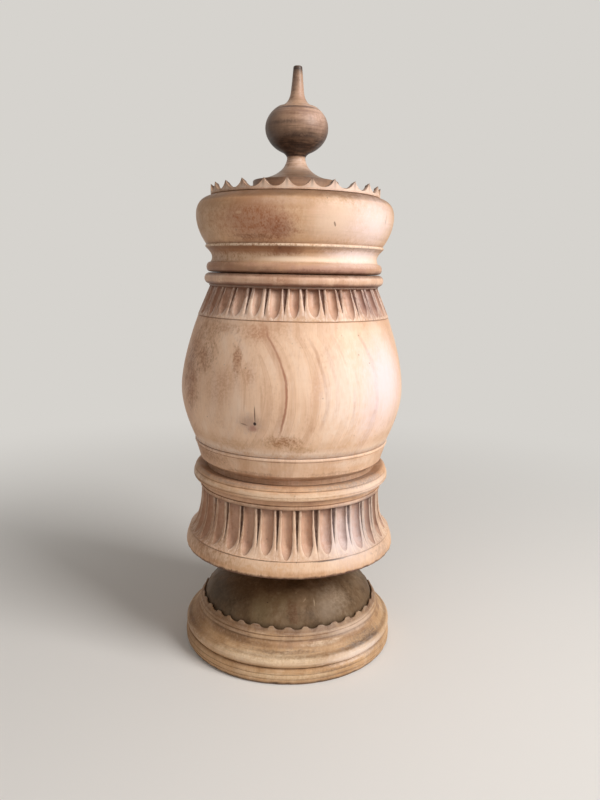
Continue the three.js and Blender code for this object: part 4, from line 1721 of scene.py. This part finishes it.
class Wardrobe:
    """Makes each finish once and dresses pieces in it."""

    def __init__(self) -> None:
        """Starts with no material made."""
        self.made: dict[str, bpy.types.Material] = {}

    def dress(self, piece: bpy.types.Object, finish: WoodFinish) -> None:
        """Gives a piece its finish.

        Args:
            piece: The piece.
            finish: The finish.
        """
        if finish.name not in self.made:
            self.made[finish.name] = WoodMaterial(finish).build()
        piece.data.materials.clear()
        piece.data.materials.append(self.made[finish.name])
        log.info("%s: dressed in %s", piece.name, finish.name)


# ------------------------------------------------------------------ the pieces


def base_of(node: str) -> float:
    """Height of a solid's lowest point.

    Args:
        node: The solid's name.

    Returns:
        The height in millimetres.
    """
    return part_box(node)[0].z / MM


class Body(Enum):
    """The two bodies of the cup."""

    CUP = "cup"
    LID = "lid"


@dataclass(frozen=True)
class Piece:
    """One piece: its name, the solid it stands for, its slot, its finish and how it is made."""

    name: str
    node: str
    slot: str
    finish: WoodFinish
    make: Callable[[], Turning]


class Assembly(ABC):
    """Pieces that are joined and ride on one body."""

    body: Body = Body.CUP

    @abstractmethod
    def pieces(self) -> tuple[Piece, ...]:
        """The assembly's pieces, from the bottom up."""

    def build(self, wardrobe: Wardrobe) -> None:
        """Makes each piece, stands it where its solid stands and dresses it.

        Args:
            wardrobe: Where the finishes come from.
        """
        for piece in self.pieces():
            lift = base_of(piece.node)
            made = piece.make().finish(piece.name, lift, self.body.value, piece.node, piece.slot)
            wardrobe.dress(made, piece.finish)


@dataclass
class Foot(Assembly):
    """The moulded plinth on the table and the dark pedestal that stands in it."""

    recess_radius: float = 62.1
    recess_floor: float = 25.5
    lip_radius: float = 64.2
    lip_foot_radius: float = 66.5
    lip_top: float = 31.5
    crest_top: float = 34.9
    crest_width: float = 1.0
    waist: float = 73.0
    band_top: float = 11.0
    torus_top: float = 18.4
    slope_corner: tuple[float, float] = (69.3, 20.4)
    slope_top: float = 26.9
    lip_line: float = 29.0
    bore_radius: float = 9.3
    bore_floor: float = 13.2
    pedestal_radius: float = 61.8
    pedestal_edge: float = 4.2
    dome_height: float = 29.5
    neck_radius: float = 28.0
    head_radius: float = 31.0
    pedestal_height: float = 53.9
    scallops: int = 36
    scallop_azimuth: float = 6.0

    def plinth(self) -> Turning:
        """The plinth, with its scallops cut.

        Returns:
            The turned and carved piece.
        """
        outline = Outline(0, 0).line(self.waist + 1.2, 0, 3)
        outline.line(self.waist + 1.9, 0.8)
        outline.sweep((self.waist + 2.9, 2), self.waist + 2.7, 3.6, 4).groove(0.7, 0.35, 0.3)
        outline.sweep((self.waist + 3.1, 5.6), self.waist + 2.6, 7, 4).groove(0.7, 0.35, 0.35)
        outline.sweep((self.waist + 2.5, 9.6), self.waist + 1.3, self.band_top - 0.4, 5)
        outline.line(self.waist - 0.3, self.band_top, 2)
        outline.bead(2.75, self.torus_top, 14)
        outline.line(self.waist - 0.9, self.torus_top + 0.3)
        outline.sweep(self.slope_corner, self.lip_foot_radius, self.slope_top - 0.5, 10)
        outline.line(self.lip_foot_radius - 0.3, self.slope_top - 0.2)
        outline.line(self.lip_foot_radius + 0.1, self.slope_top)
        outline.line(self.lip_foot_radius - 0.9, self.lip_line, 3).groove(0.6, 0.4, 0.45)
        outline.sweep((self.lip_radius + 0.6, 31.4), self.lip_radius - 0.1, self.lip_top, 4)
        crest = self.recess_radius + self.crest_width
        outline.sweep((self.lip_radius - 0.5, 33), crest + 0.1, self.crest_top - 0.5, 8)
        outline.sweep((crest, self.crest_top), crest - 0.4, self.crest_top, 3)
        outline.line(self.recess_radius + 0.25, self.crest_top, 2)
        outline.line(self.recess_radius, self.crest_top - 0.3)
        outline.line(self.recess_radius, self.lip_top - 1, 7)
        outline.line(self.recess_radius, self.recess_floor, 3)
        outline.line(self.bore_radius, self.recess_floor, 2)
        outline.line(self.bore_radius, self.bore_floor)
        outline.line(0, self.bore_floor)
        outline.stain(0, 1.4, 0.6, 1.4).stain(10.7, 11.3, 0.25, 0.8)
        outline.stain(18.3, 18.8, 0.35, 0.8).stain(19, 22, 0.12, 3)
        outline.stain(26.5, 27.1, 0.4, 0.6)
        outline.polish(14, 16.5, 0.3, 1.6).polish(27.6, 28.6, 0.2, 0.5).polish(30, 31.2, 0.25, 0.6)
        piece = Turning(outline, self.scallops, 20)
        ScallopRing(
            count=self.scallops,
            azimuth=self.scallop_azimuth,
            half_width=3.9,
            reach=2.5,
            depth=2.5,
            radius=self.recess_radius,
            low=self.lip_top - 0.9,
            top=self.crest_top,
            seed=31,
        ).carve(piece)
        return piece.wobble(0.22, 26, 3.1).fray(0, 2.2, 0.7, 5, 2.2)

    def pedestal(self) -> Turning:
        """The dark dome and neck.

        Returns:
            The turned piece.
        """
        angle = math.degrees(math.acos(self.neck_radius / self.pedestal_radius))
        outline = Outline(self.bore_radius, 0).line(self.pedestal_radius, 0, 3)
        outline.line(self.pedestal_radius, self.pedestal_edge, 3)
        outline.ellipse(
            self.pedestal_radius, self.dome_height, self.pedestal_edge, 0, angle, 22
        )
        top = outline.end.height
        middle = (top + self.pedestal_height) / 2
        outline.sweep((self.neck_radius, middle), self.head_radius, self.pedestal_height, 10)
        outline.line(self.bore_radius, self.pedestal_height, 2)
        outline.line(self.bore_radius, 0)
        # The second stain darkens the neck towards its top, under the skirt: painted shade.
        outline.stain(4, 7, 0.45, 3).stain(top - 2, self.pedestal_height, 0.4, 6)
        return Turning(outline, 32, 5).wobble(0.25, 22, 7.7)

    def pieces(self) -> tuple[Piece, ...]:
        """Plinth and pedestal.

        Returns:
            The two pieces.
        """
        return (
            Piece("plinth_turned", "foot_plinth", "plinth_wood", PLINTH_WOOD, self.plinth),
            Piece("pedestal_turned", "pedestal", "pedestal_wood", PEDESTAL_WOOD, self.pedestal),
        )


@dataclass
class Drum(Assembly):
    """The flared and fluted skirt, and the moulded collar ring on it."""

    rim_radius: float = 75.0
    rim_height: float = 10.7
    rim_wall: float = 5.0
    recess_depth: float = 6.2
    curve_foot: float = 72.4
    curve_top: float = 43.7
    top_radius: float = 64.0
    fillet_radius: float = 65.0
    height: float = 45.2
    bore_radius: float = 9.3
    flutes: int = 32
    flute_azimuth: float = -0.6
    flute_low: float = 11.5
    collar_foot: float = 64.8
    collar_foot_height: float = 4.0
    collar_radius: float = 69.5
    collar_band: float = 6.4
    collar_wide: float = 9.0
    collar_step_radius: float = 68.4
    collar_step: float = 10.4
    collar_round: tuple[float, float] = (67.9, 13.2)
    collar_height: float = 13.7
    collar_lip: float = 66.0
    collar_seat_radius: float = 60.6
    collar_seat: float = 12.4

    def skirt(self) -> Turning:
        """The skirt, with flutes and darts cut.

        Returns:
            The turned and carved piece.
        """
        wall = self.rim_radius - self.rim_wall
        low = self.flute_low
        outline = Outline(self.bore_radius, self.recess_depth)
        outline.line(wall - self.recess_depth, self.recess_depth, 3)
        outline.line(wall, 0, 3)
        outline.line(self.rim_radius - 1.4, 0, 2)
        outline.sweep((self.rim_radius - 0.1, 0.1), self.rim_radius, 1.5, 4)
        outline.sweep((self.rim_radius, 6), self.curve_foot + 0.2, self.rim_height - 0.1, 8)
        outline.groove(0.8, 0.5, 0.5)
        corner = (self.top_radius, low + (self.curve_top - low) * 0.16)
        outline.sweep(corner, self.top_radius, self.curve_top - 1.2, 40)
        flute_top = outline.end.height
        outline.line(self.top_radius + 0.05, flute_top + 0.06)
        outline.line(self.fillet_radius - 0.35, flute_top + 0.35)
        fillet = self.fillet_radius
        outline.sweep((fillet + 0.1, flute_top + 0.9), fillet, self.height, 3)
        outline.line(self.bore_radius, self.height, 3)
        outline.line(self.bore_radius, self.recess_depth)
        outline.stain(-1, 0.6, 0.9, 1.3).stain(flute_top + 0.1, flute_top + 0.5, 0.6, 0.5)
        outline.polish(6, 9.5, 0.25, 2)
        piece = Turning(outline, self.flutes, FluteBand.columns, self.flute_azimuth)
        FluteBand(
            count=self.flutes,
            azimuth=self.flute_azimuth,
            half_width=4.3,
            depth=4.1,
            low=low,
            high=flute_top,
            tip=7.5,
            dart_half_width=2.1,
            dart_depth=2.6,
            dart_share=0.86,
            seed=12,
        ).carve(piece)
        return piece.wobble(0.2, 24, 9.4).fray(-0.5, 2.4, 0.9, 4, 5.5)

    def collar(self) -> Turning:
        """The moulded ring between skirt and bowl.

        Returns:
            The turned piece.
        """
        outline = Outline(self.bore_radius, 0).line(self.collar_foot - 0.5, 0, 3)
        outline.line(self.collar_foot, 0.4)
        outline.line(self.collar_foot + 0.9, self.collar_foot_height - 0.4, 4)
        outline.line(self.collar_foot + 0.6, self.collar_foot_height)
        corner = (self.collar_radius + 0.2, self.collar_foot_height)
        outline.sweep(corner, self.collar_radius, self.collar_band, 8).groove(0.6, 0.3, 0.3)
        corner = (self.collar_radius + 0.1, self.collar_wide)
        outline.sweep(corner, self.collar_step_radius, self.collar_step, 6).groove(0.6, 0.4, 0.35)
        outline.sweep(self.collar_round, self.collar_lip, self.collar_height, 6)
        outline.line(self.collar_seat_radius, self.collar_seat, 7)
        outline.line(self.bore_radius, self.collar_seat, 2)
        outline.line(self.bore_radius, 0)
        outline.stain(3.6, 4.3, 0.5, 0.6).stain(13.5, 13.7, 0.2, 0.4)
        for row in outline.rows:
            if row.height > 12.3 and row.radius < 65.5:
                row.grime = 0.08 + 0.25 * min(1.0, max(0.0, (65.0 - row.radius) / 4))
        outline.polish(8, 9.6, 0.5, 0.8)
        return Turning(outline, 32, 7).wobble(0.18, 20, 4.2)

    def pieces(self) -> tuple[Piece, ...]:
        """Skirt and collar.

        Returns:
            The two pieces.
        """
        return (
            Piece("skirt_carved", "skirt", "skirt_wood", SKIRT_WOOD, self.skirt),
            Piece("collar_turned", "collar_ring", "collar_wood", COLLAR_WOOD, self.collar),
        )


@dataclass
class Bowl(Assembly):
    """The hollow bowl, with its fluted neck and rounded rim."""

    foot_radius: float = 60.0
    foot_height: float = 3.0
    cone_radius: float = 64.6
    cone_low: float = 6.6
    cone_high: float = 17.2
    cone_top_radius: float = 67.8
    belly_foot: float = 19.7
    belly_foot_radius: float = 68.0
    belly_radius: float = 77.4
    belly_height: float = 55.0
    shoulder: float = 104.9
    shoulder_radius: float = 66.0
    neck_radius: float = 57.7
    neck_top: float = 126.2
    rim_swell: float = 3.9
    height: float = 133.7
    mouth_radius: float = 50.0
    mouth_depth: float = 16.0
    inner_belly: float = 68.4
    inner_floor: float = 25.0
    inner_floor_radius: float = 40.0
    bore_radius: float = 9.3
    bore_depth: float = 16.0
    flutes: int = 32
    flute_azimuth: float = 1.0

    def outside(self) -> Outline:
        """The outline from the foot up to the rim.

        Returns:
            The outline.
        """
        outline = Outline(0, self.bore_depth).line(self.bore_radius, self.bore_depth)
        outline.line(self.bore_radius, 0).line(self.foot_radius, 0, 3)
        outline.line(self.foot_radius, self.foot_height, 2)
        outline.line(self.cone_radius - 0.3, self.cone_low - 0.2, 3)
        cone = self.cone_radius + 0.3
        outline.sweep((cone, self.cone_low), cone, self.cone_low + 0.9, 3)
        outline.line(self.cone_top_radius, self.cone_high - 0.3, 6)
        outline.line(self.cone_top_radius - 0.4, self.cone_high)
        outline.bead(1.15, self.belly_foot - 0.1, 7)
        outline.line(self.belly_foot_radius - 0.35, self.belly_foot)
        outline.line(self.belly_foot_radius + 0.1, self.belly_foot + 0.3)
        swell, middle = self.belly_radius, self.belly_height
        lower = (swell, self.belly_foot + (middle - self.belly_foot) * 0.6)
        outline.sweep(lower, swell, middle, 12)
        upper = (swell, middle + (self.shoulder - middle) * 0.37)
        outline.sweep(upper, self.shoulder_radius, self.shoulder, 14)
        return outline.groove(0.8, 0.5, 0.5)

    def turned(self) -> Turning:
        """The whole bowl, with flutes and darts cut.

        Returns:
            The turned and carved piece.
        """
        outline = self.outside()
        low = outline.end.height
        outline.line(self.neck_radius + 0.2, self.neck_top - 1.2, 26)
        flute_top = outline.end.height
        outline.line(self.neck_radius + 0.25, flute_top + 0.06)
        outline.line(self.neck_radius + 0.7, flute_top + 0.25)
        outline.line(self.neck_radius + 0.7, self.neck_top - 0.1)
        outline.line(self.neck_radius + 0.3, self.neck_top)
        outline.bead(self.rim_swell - 0.3, self.height, 14)
        outline.line(self.mouth_radius + 0.6, self.height, 3)
        outline.line(self.mouth_radius, self.height - 0.6)
        mouth_low = self.height - self.mouth_depth
        outline.line(self.mouth_radius, mouth_low, 4)
        belly, floor = self.inner_belly, self.inner_floor
        upper = mouth_low - (mouth_low - self.belly_height) * 0.57
        outline.sweep((belly, upper), belly, self.belly_height, 8)
        outline.sweep((belly, floor), self.inner_floor_radius, floor, 8).line(0, floor, 2)
        outline.stain(self.height - 1.2, self.height, 0.7, 0.8)
        outline.stain(flute_top + 0.1, flute_top + 0.3, 0.7, 0.4)
        outline.stain(self.neck_top - 0.2, self.neck_top + 0.9, 0.7, 0.7)
        outline.stain(0, self.cone_low - 0.8, 0.38, 1.0).stain(self.cone_high, 17.4, 0.25, 0.4)
        outline.stain(self.belly_foot - 0.2, self.belly_foot + 0.1, 0.5, 0.4)
        outline.polish(20.2, 22.5, 0.6, 2.5).polish(flute_top + 0.4, self.neck_top - 0.3, 0.8, 0.3)
        for row in outline.rows:
            if row.radius < self.mouth_radius + 0.1:
                row.grime, row.wear = 0.12, 0.0
        piece = Turning(outline, self.flutes, FluteBand.columns, self.flute_azimuth)
        FluteBand(
            count=self.flutes,
            azimuth=self.flute_azimuth,
            half_width=3.5,
            depth=3.2,
            low=low,
            high=flute_top,
            tip=7.5,
            dart_half_width=1.8,
            dart_depth=2.3,
            dart_share=0.82,
            seed=5,
        ).carve(piece)
        return piece.wobble(0.16, 30, 1.3)

    def pieces(self) -> tuple[Piece, ...]:
        """The bowl alone."""
        return (Piece("bowl_carved", "bowl", "bowl_wood", BELLY_WOOD, self.turned),)


@dataclass
class Lid(Assembly):
    """The hollow cap with its spigot, the toothed gallery and the finial."""

    body: Body = Body.LID
    spigot_radius: float = 49.7
    spigot: float = 6.0
    hollow_radius: float = 44.7
    edge_radius: float = 58.2
    edge_height: float = 6.8
    edge_swell: float = 2.0
    cove_top: float = 16.4
    bead_foot: float = 60.4
    bead_top: float = 18.3
    wall_top: float = 38.0
    radius: float = 67.0
    ledge: float = 50.0
    ledge_radius: float = 57.3
    seat_radius: float = 54.7
    seat_top: float = 52.6
    crown: float = 54.5
    ceiling: float = 38.5
    socket_floor: float = 44.5
    socket_radius: float = 8.3
    gallery_radius: float = 57.2
    gallery_wall: float = 2.2
    gallery_height: float = 7.2
    teeth: int = 24
    teeth_azimuth: float = -4.5
    tenon_radius: float = 8.0
    tenon: float = 10.0
    disc_radius: float = 29.0
    disc_height: float = 5.7
    disc_chamfer: float = 0.4
    stem_height: float = 14.9
    stem_radius: float = 6.1
    ball_radius: float = 21.0
    ball_lower: float = 17.0
    ball_upper: float = 16.9
    ball_foot_radius: float = 9.0
    ball_foot_rise: float = 3.9
    spike_foot_radius: float = 13.0
    flare_height: float = 11.3
    spike_radius: float = 4.2
    spike_height: float = 14.5
    spike_tip: float = 2.8

    def shell(self) -> Turning:
        """The cap, from the hollow's ceiling round to the socket of the finial.

        Returns:
            The turned piece.
        """
        base = self.spigot
        hollow, ceiling = self.hollow_radius, self.ceiling + base
        outline = Outline(0, ceiling).line(hollow / 2, ceiling, 3)
        outline.sweep((hollow, ceiling), hollow, ceiling - 16, 10)
        outline.line(hollow, 0.5, 4).line(hollow + 0.5, 0)
        outline.line(self.spigot_radius - 0.6, 0).line(self.spigot_radius, 0.6)
        outline.line(self.spigot_radius, base, 2).line(self.edge_radius - 1.6, base + 0.05, 3)
        half, swell, core = self.edge_height / 2, self.edge_swell + 0.2, self.edge_radius - 0.2
        outline.ellipse(swell, half - 0.35, base + half, -90, 0, 6, core)
        outline.ellipse(swell, half, base + half, 0, 90, 6, core)
        outline.line(self.edge_radius - 0.8, base + self.edge_height + 0.3)
        cove = (self.edge_radius - 3.6, base + 11.2)
        outline.sweep(cove, self.bead_foot - 0.3, base + self.cove_top - 0.4, 12)
        outline.line(self.bead_foot - 0.1, base + self.cove_top)
        outline.bead(0.7, base + self.bead_top, 7)
        outline.line(self.bead_foot - 0.2, base + self.bead_top + 0.2)
        outline.sweep((self.radius, base + 28.2), self.radius, base + self.wall_top, 12)
        shoulder = (self.radius, base + self.wall_top + 9.6)
        outline.sweep(shoulder, self.ledge_radius + 0.5, base + self.ledge - 0.2, 14)
        outline.line(self.ledge_radius, base + self.ledge)
        outline.line(self.seat_radius, base + self.ledge)
        outline.line(self.seat_radius, base + self.seat_top)
        outline.line(self.disc_radius, base + self.crown, 5)
        outline.line(self.socket_radius, base + self.crown, 2)
        outline.line(self.socket_radius, base + self.socket_floor)
        outline.line(0, base + self.socket_floor)
        for row in outline.rows:
            row.grime = max(row.grime, self.shell_dirt(row))
        outline.polish(base + 17, base + 18, 0.9, 0.6)
        outline.polish(base + 8, base + 11, 0.4, 2.5).polish(base + 25, base + 38, 0.2, 6)
        chips = [
            Dent(27, base + 0.6, 1.7, 0.8, 0.7),
            Dent(31, base + 0.8, 1.2, 0.6, 0.7),
            Dent(38, base + 0.7, 2.0, 0.8, 0.6),
            Dent(45, base + 0.5, 1.3, 0.7, 0.7),
            Dent(-8, base + 15.6, 1.4, 0.5, 0.8),
            Dent(-12, base + 30, 0.9, 0.3, 0.5),
        ]
        return Turning(outline, 32, 7).wobble(0.18, 28, 6.5).knock(chips)

    def shell_dirt(self, row: Row) -> float:
        """How dirty a row of the cap is.

        Args:
            row: The row.

        Returns:
            Its dirt, from 0 to 1.
        """
        height = row.height - self.spigot
        if height > self.ledge - 0.1 and row.radius < self.seat_radius + 0.5:
            return 0.3
        if row.radius <= self.spigot_radius + 1:
            return 0.12
        if height < 1.6:
            return 0.9 - 0.25 * height
        if self.edge_height - 0.3 < height < self.edge_height + 0.8:
            return 0.15
        if self.cove_top - 1.4 < height < self.cove_top + 0.1:
            return 0.3
        if self.bead_top < height < self.bead_top + 0.4:
            return 0.35
        under_ring = 1 - (self.ledge - height) / 4.6
        return 0.72 * math.sqrt(under_ring) if under_ring > 0 else 0.0

    def gallery(self) -> Turning:
        """The thin ring of pointed teeth.

        Returns:
            The turned and carved piece.
        """
        inner = self.gallery_radius - self.gallery_wall
        outline = Outline(inner, 0).line(self.gallery_radius - 0.2, 0)
        outline.line(self.gallery_radius, 0.2).line(self.gallery_radius, 0.9)
        outline.line(self.gallery_radius, self.gallery_height, 9)
        outline.line(inner, self.gallery_height, 3)
        outline.line(inner, 0.9, 5).line(inner, 0)
        piece = Turning(outline, self.teeth, 24, self.teeth_azimuth)
        ToothedEdge(
            count=self.teeth,
            azimuth=self.teeth_azimuth,
            depth=5.6,
            tip=0.3,
            band=0.9,
            top=self.gallery_height,
            radius=self.gallery_radius,
            wall=self.gallery_wall,
            bevel=1.4,
            taper=1.5,
            seed=8,
        ).carve(piece)
        return piece

    def finial(self) -> Turning:
        """Disc, flared stem, ball and spike in one.

        Returns:
            The turned piece.
        """
        base = self.tenon
        shoulder = self.disc_radius - self.disc_chamfer
        outline = Outline(0, 0).line(self.tenon_radius - 0.5, 0).line(self.tenon_radius, 0.5)
        outline.line(self.tenon_radius, base).line(self.disc_radius - 0.3, base, 2)
        outline.line(self.disc_radius, base + 0.3)
        outline.line(self.disc_radius, base + self.disc_height, 3)
        top = base + self.disc_height + self.disc_chamfer
        outline.line(shoulder, top)
        flare = (self.stem_radius + 2, top + self.stem_height / 5)
        top += self.stem_height
        outline.sweep(flare, self.stem_radius, top, 18)
        foot_corner = (self.stem_radius, top + self.ball_foot_rise / 2)
        top += self.ball_foot_rise
        outline.sweep(foot_corner, self.ball_foot_radius, top, 6)
        low = -math.degrees(math.acos(self.ball_foot_radius / self.ball_radius))
        high = math.degrees(math.acos(self.spike_foot_radius / self.ball_radius))
        centre = top - self.ball_lower * math.sin(math.radians(low))
        outline.ellipse(self.ball_radius, self.ball_lower, centre, low, 0, 14)
        outline.ellipse(self.ball_radius, self.ball_upper, centre, 0, high, 12)
        foot = outline.end.height
        flare = (self.spike_radius + 0.6, foot + self.flare_height / 8)
        outline.sweep(flare, self.spike_radius, foot + self.flare_height, 16)
        tip = outline.end.height + self.spike_height
        outline.line(self.spike_tip + 0.1, tip - 0.6, 8)
        outline.sweep((self.spike_tip, tip), self.spike_tip - 0.7, tip, 3)
        outline.line(0, tip)
        outline.stain(base + 6, base + 12, 0.55, 5).stain(tip - 2.5, tip, 0.9, 3)
        # The ball is darkened towards its underside and the stem below it: painted shade.
        for row in outline.rows:
            if top - 3 < row.height < foot + 2:
                depth = min(1.0, max(0.0, (centre + 14 - row.height) / 26))
                row.grime = max(row.grime, 0.08 + 0.95 * depth**1.5)
        outline.polish(top - 12, top - 5, 1.0, 3).polish(foot + 8, tip - 6, 0.15, 5)
        return Turning(outline, 24, 6).wobble(0.12, 12, 8.8)

    def pieces(self) -> tuple[Piece, ...]:
        """Shell, gallery and finial.

        Returns:
            The three pieces.
        """
        return (
            Piece("lid_turned", "lid_shell", "lid_wood", LID_WOOD, self.shell),
            Piece("gallery_carved", "gallery_ring", "gallery_wood", GALLERY_WOOD, self.gallery),
            Piece("finial_turned", "finial", "finial_wood", FINIAL_WOOD, self.finial),
        )


# ------------------------------------------------------------------ floor, light and camera


@dataclass(frozen=True)
class Lamp:
    """A square soft lamp that faces the cup: its angles in degrees, sizes in metres and power."""

    name: str
    azimuth: float
    elevation: float
    distance: float
    size: float
    watts: float

    def hang(self, aim: Vector) -> None:
        """Puts the lamp in the scene.

        Args:
            aim: The point that it faces.
        """
        data = bpy.data.lights.new(self.name, "AREA")
        data.shape = "SQUARE"
        data.size = self.size
        data.energy = self.watts
        rise = math.radians(self.elevation)
        level = self.distance * math.cos(rise)
        side = on_ring(level, self.azimuth, self.distance * math.sin(rise))
        lamp = new_object(self.name, data)
        lamp.location = aim + side
        lamp.rotation_euler = (-side).to_track_quat("-Z", "Y").to_euler()


@dataclass
class Studio:
    """A plain pale floor, soft lights and the camera at the photograph's place."""

    floor_size: float = 12.0
    floor_near: float = 0.12
    floor_far: float = 0.8
    floor_colour: str = "#EDE9E4"
    ground_colour: str = "#D6D3CE"
    air_colour: str = "#EDE8E2"
    air_strength: float = 0.27
    aim_height: float = 0.2
    lamps: tuple[Lamp, ...] = (
        Lamp("window_light", 56, 34, 1.5, 0.7, 21.0),
        Lamp("front_fill", -20, 35, 1.8, 1.4, 3.5),
    )
    camera_place: tuple[float, float, float] = (0.0059, -0.4928, 0.2689)
    pitch: float = 10.57
    roll: float = 1.18
    lens: float = 31.5
    sensor: float = 36.0

    def seen_rays(self, tree: bpy.types.NodeTree) -> bpy.types.Node:
        """Which rays see the plain ground: the camera's, mirrored ones and those through glass.

        Args:
            tree: The tree that needs it.

        Returns:
            1 for those rays and 0 for the rest.
        """
        rays = add_node(tree, Kind.RAYS).outputs
        first = add_node(tree, Kind.LARGER, rays["Is Camera Ray"], rays["Is Glossy Ray"])
        return add_node(tree, Kind.LARGER, first, rays["Is Transmission Ray"])

    def floor_paint(self) -> bpy.types.Material:
        """Matt pale paint that runs out into the plain ground behind it, and has no horizon.

        Returns:
            The floor's material.
        """
        material = bpy.data.materials.new("pale_painted_floor")
        tree = bare_tree(material)
        add = partial(add_node, tree)
        colour = linear(self.floor_colour)
        paint = add(Kind.SHADER, Base_Color=colour, Roughness=0.9, Specular_IOR_Level=0.2)
        ground = add(Kind.GLOW, Color=linear(self.ground_colour), Strength=1.0)
        length = add(Kind.LENGTH, add(Kind.PLACE).outputs["Object"])
        far = add(Kind.MASK, length, self.floor_near, self.floor_far)
        share = add(Kind.MULTIPLY, far, self.seen_rays(tree))
        add(Kind.MATERIAL, Surface=add(Kind.EITHER, share, paint, ground))
        return material

    def floor(self) -> None:
        """The floor, which isn't part of the cup."""
        bm = bmesh.new()
        bmesh.ops.create_circle(bm, cap_ends=True, radius=self.floor_size, segments=96)
        bmesh.ops.recalc_face_normals(bm, faces=bm.faces)
        mesh = bpy.data.meshes.new("floor")
        bm.to_mesh(mesh)
        bm.free()
        floor = new_object("floor", mesh)
        mesh.materials.append(self.floor_paint())

    def world(self) -> None:
        """Even light from all round, with the same pale ground behind the cup."""
        world = bpy.data.worlds.new("studio")
        bpy.context.scene.world = world
        tree = bare_tree(world)
        add = partial(add_node, tree)
        light = add(Kind.AIR, Color=linear(self.air_colour), Strength=self.air_strength)
        ground = add(Kind.AIR, Color=linear(self.ground_colour), Strength=1.0)
        add(Kind.WORLD, Surface=add(Kind.EITHER, self.seen_rays(tree), light, ground))

    def camera(self) -> None:
        """The camera, found from the cup's own rings in the photograph."""
        data = bpy.data.cameras.new("camera")
        data.lens = self.lens
        data.sensor_width = self.sensor
        data.sensor_fit = "AUTO"
        data.clip_start = 0.01
        level = Euler((math.radians(90 - self.pitch), 0, 0)).to_matrix()
        tilt = Euler((0, 0, math.radians(self.roll))).to_matrix()
        camera = new_object("camera", data)
        camera.rotation_euler = (level @ tilt).to_euler()
        camera.location = self.camera_place
        bpy.context.scene.camera = camera

    def build(self) -> None:
        """Sets the whole scene round the cup."""
        self.floor()
        self.world()
        for lamp in self.lamps:
            lamp.hang(Vector((0, 0, self.aim_height)))
        self.camera()
        bpy.context.scene.view_settings.view_transform = "Standard"
        log.info("floor, lights and camera are in place")


def main() -> None:
    """Builds the cup from the table up, and the scene round it."""
    logging.basicConfig(level=logging.INFO, format="%(name)s: %(message)s")
    wardrobe = Wardrobe()
    assemblies: tuple[Assembly, ...] = (Foot(), Drum(), Bowl(), Lid())
    for assembly in assemblies:
        assembly.build(wardrobe)
    wardrobe.dress(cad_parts["centre_dowel"], DOWEL_WOOD)
    Studio().build()


if __name__ == "__main__":
    main()
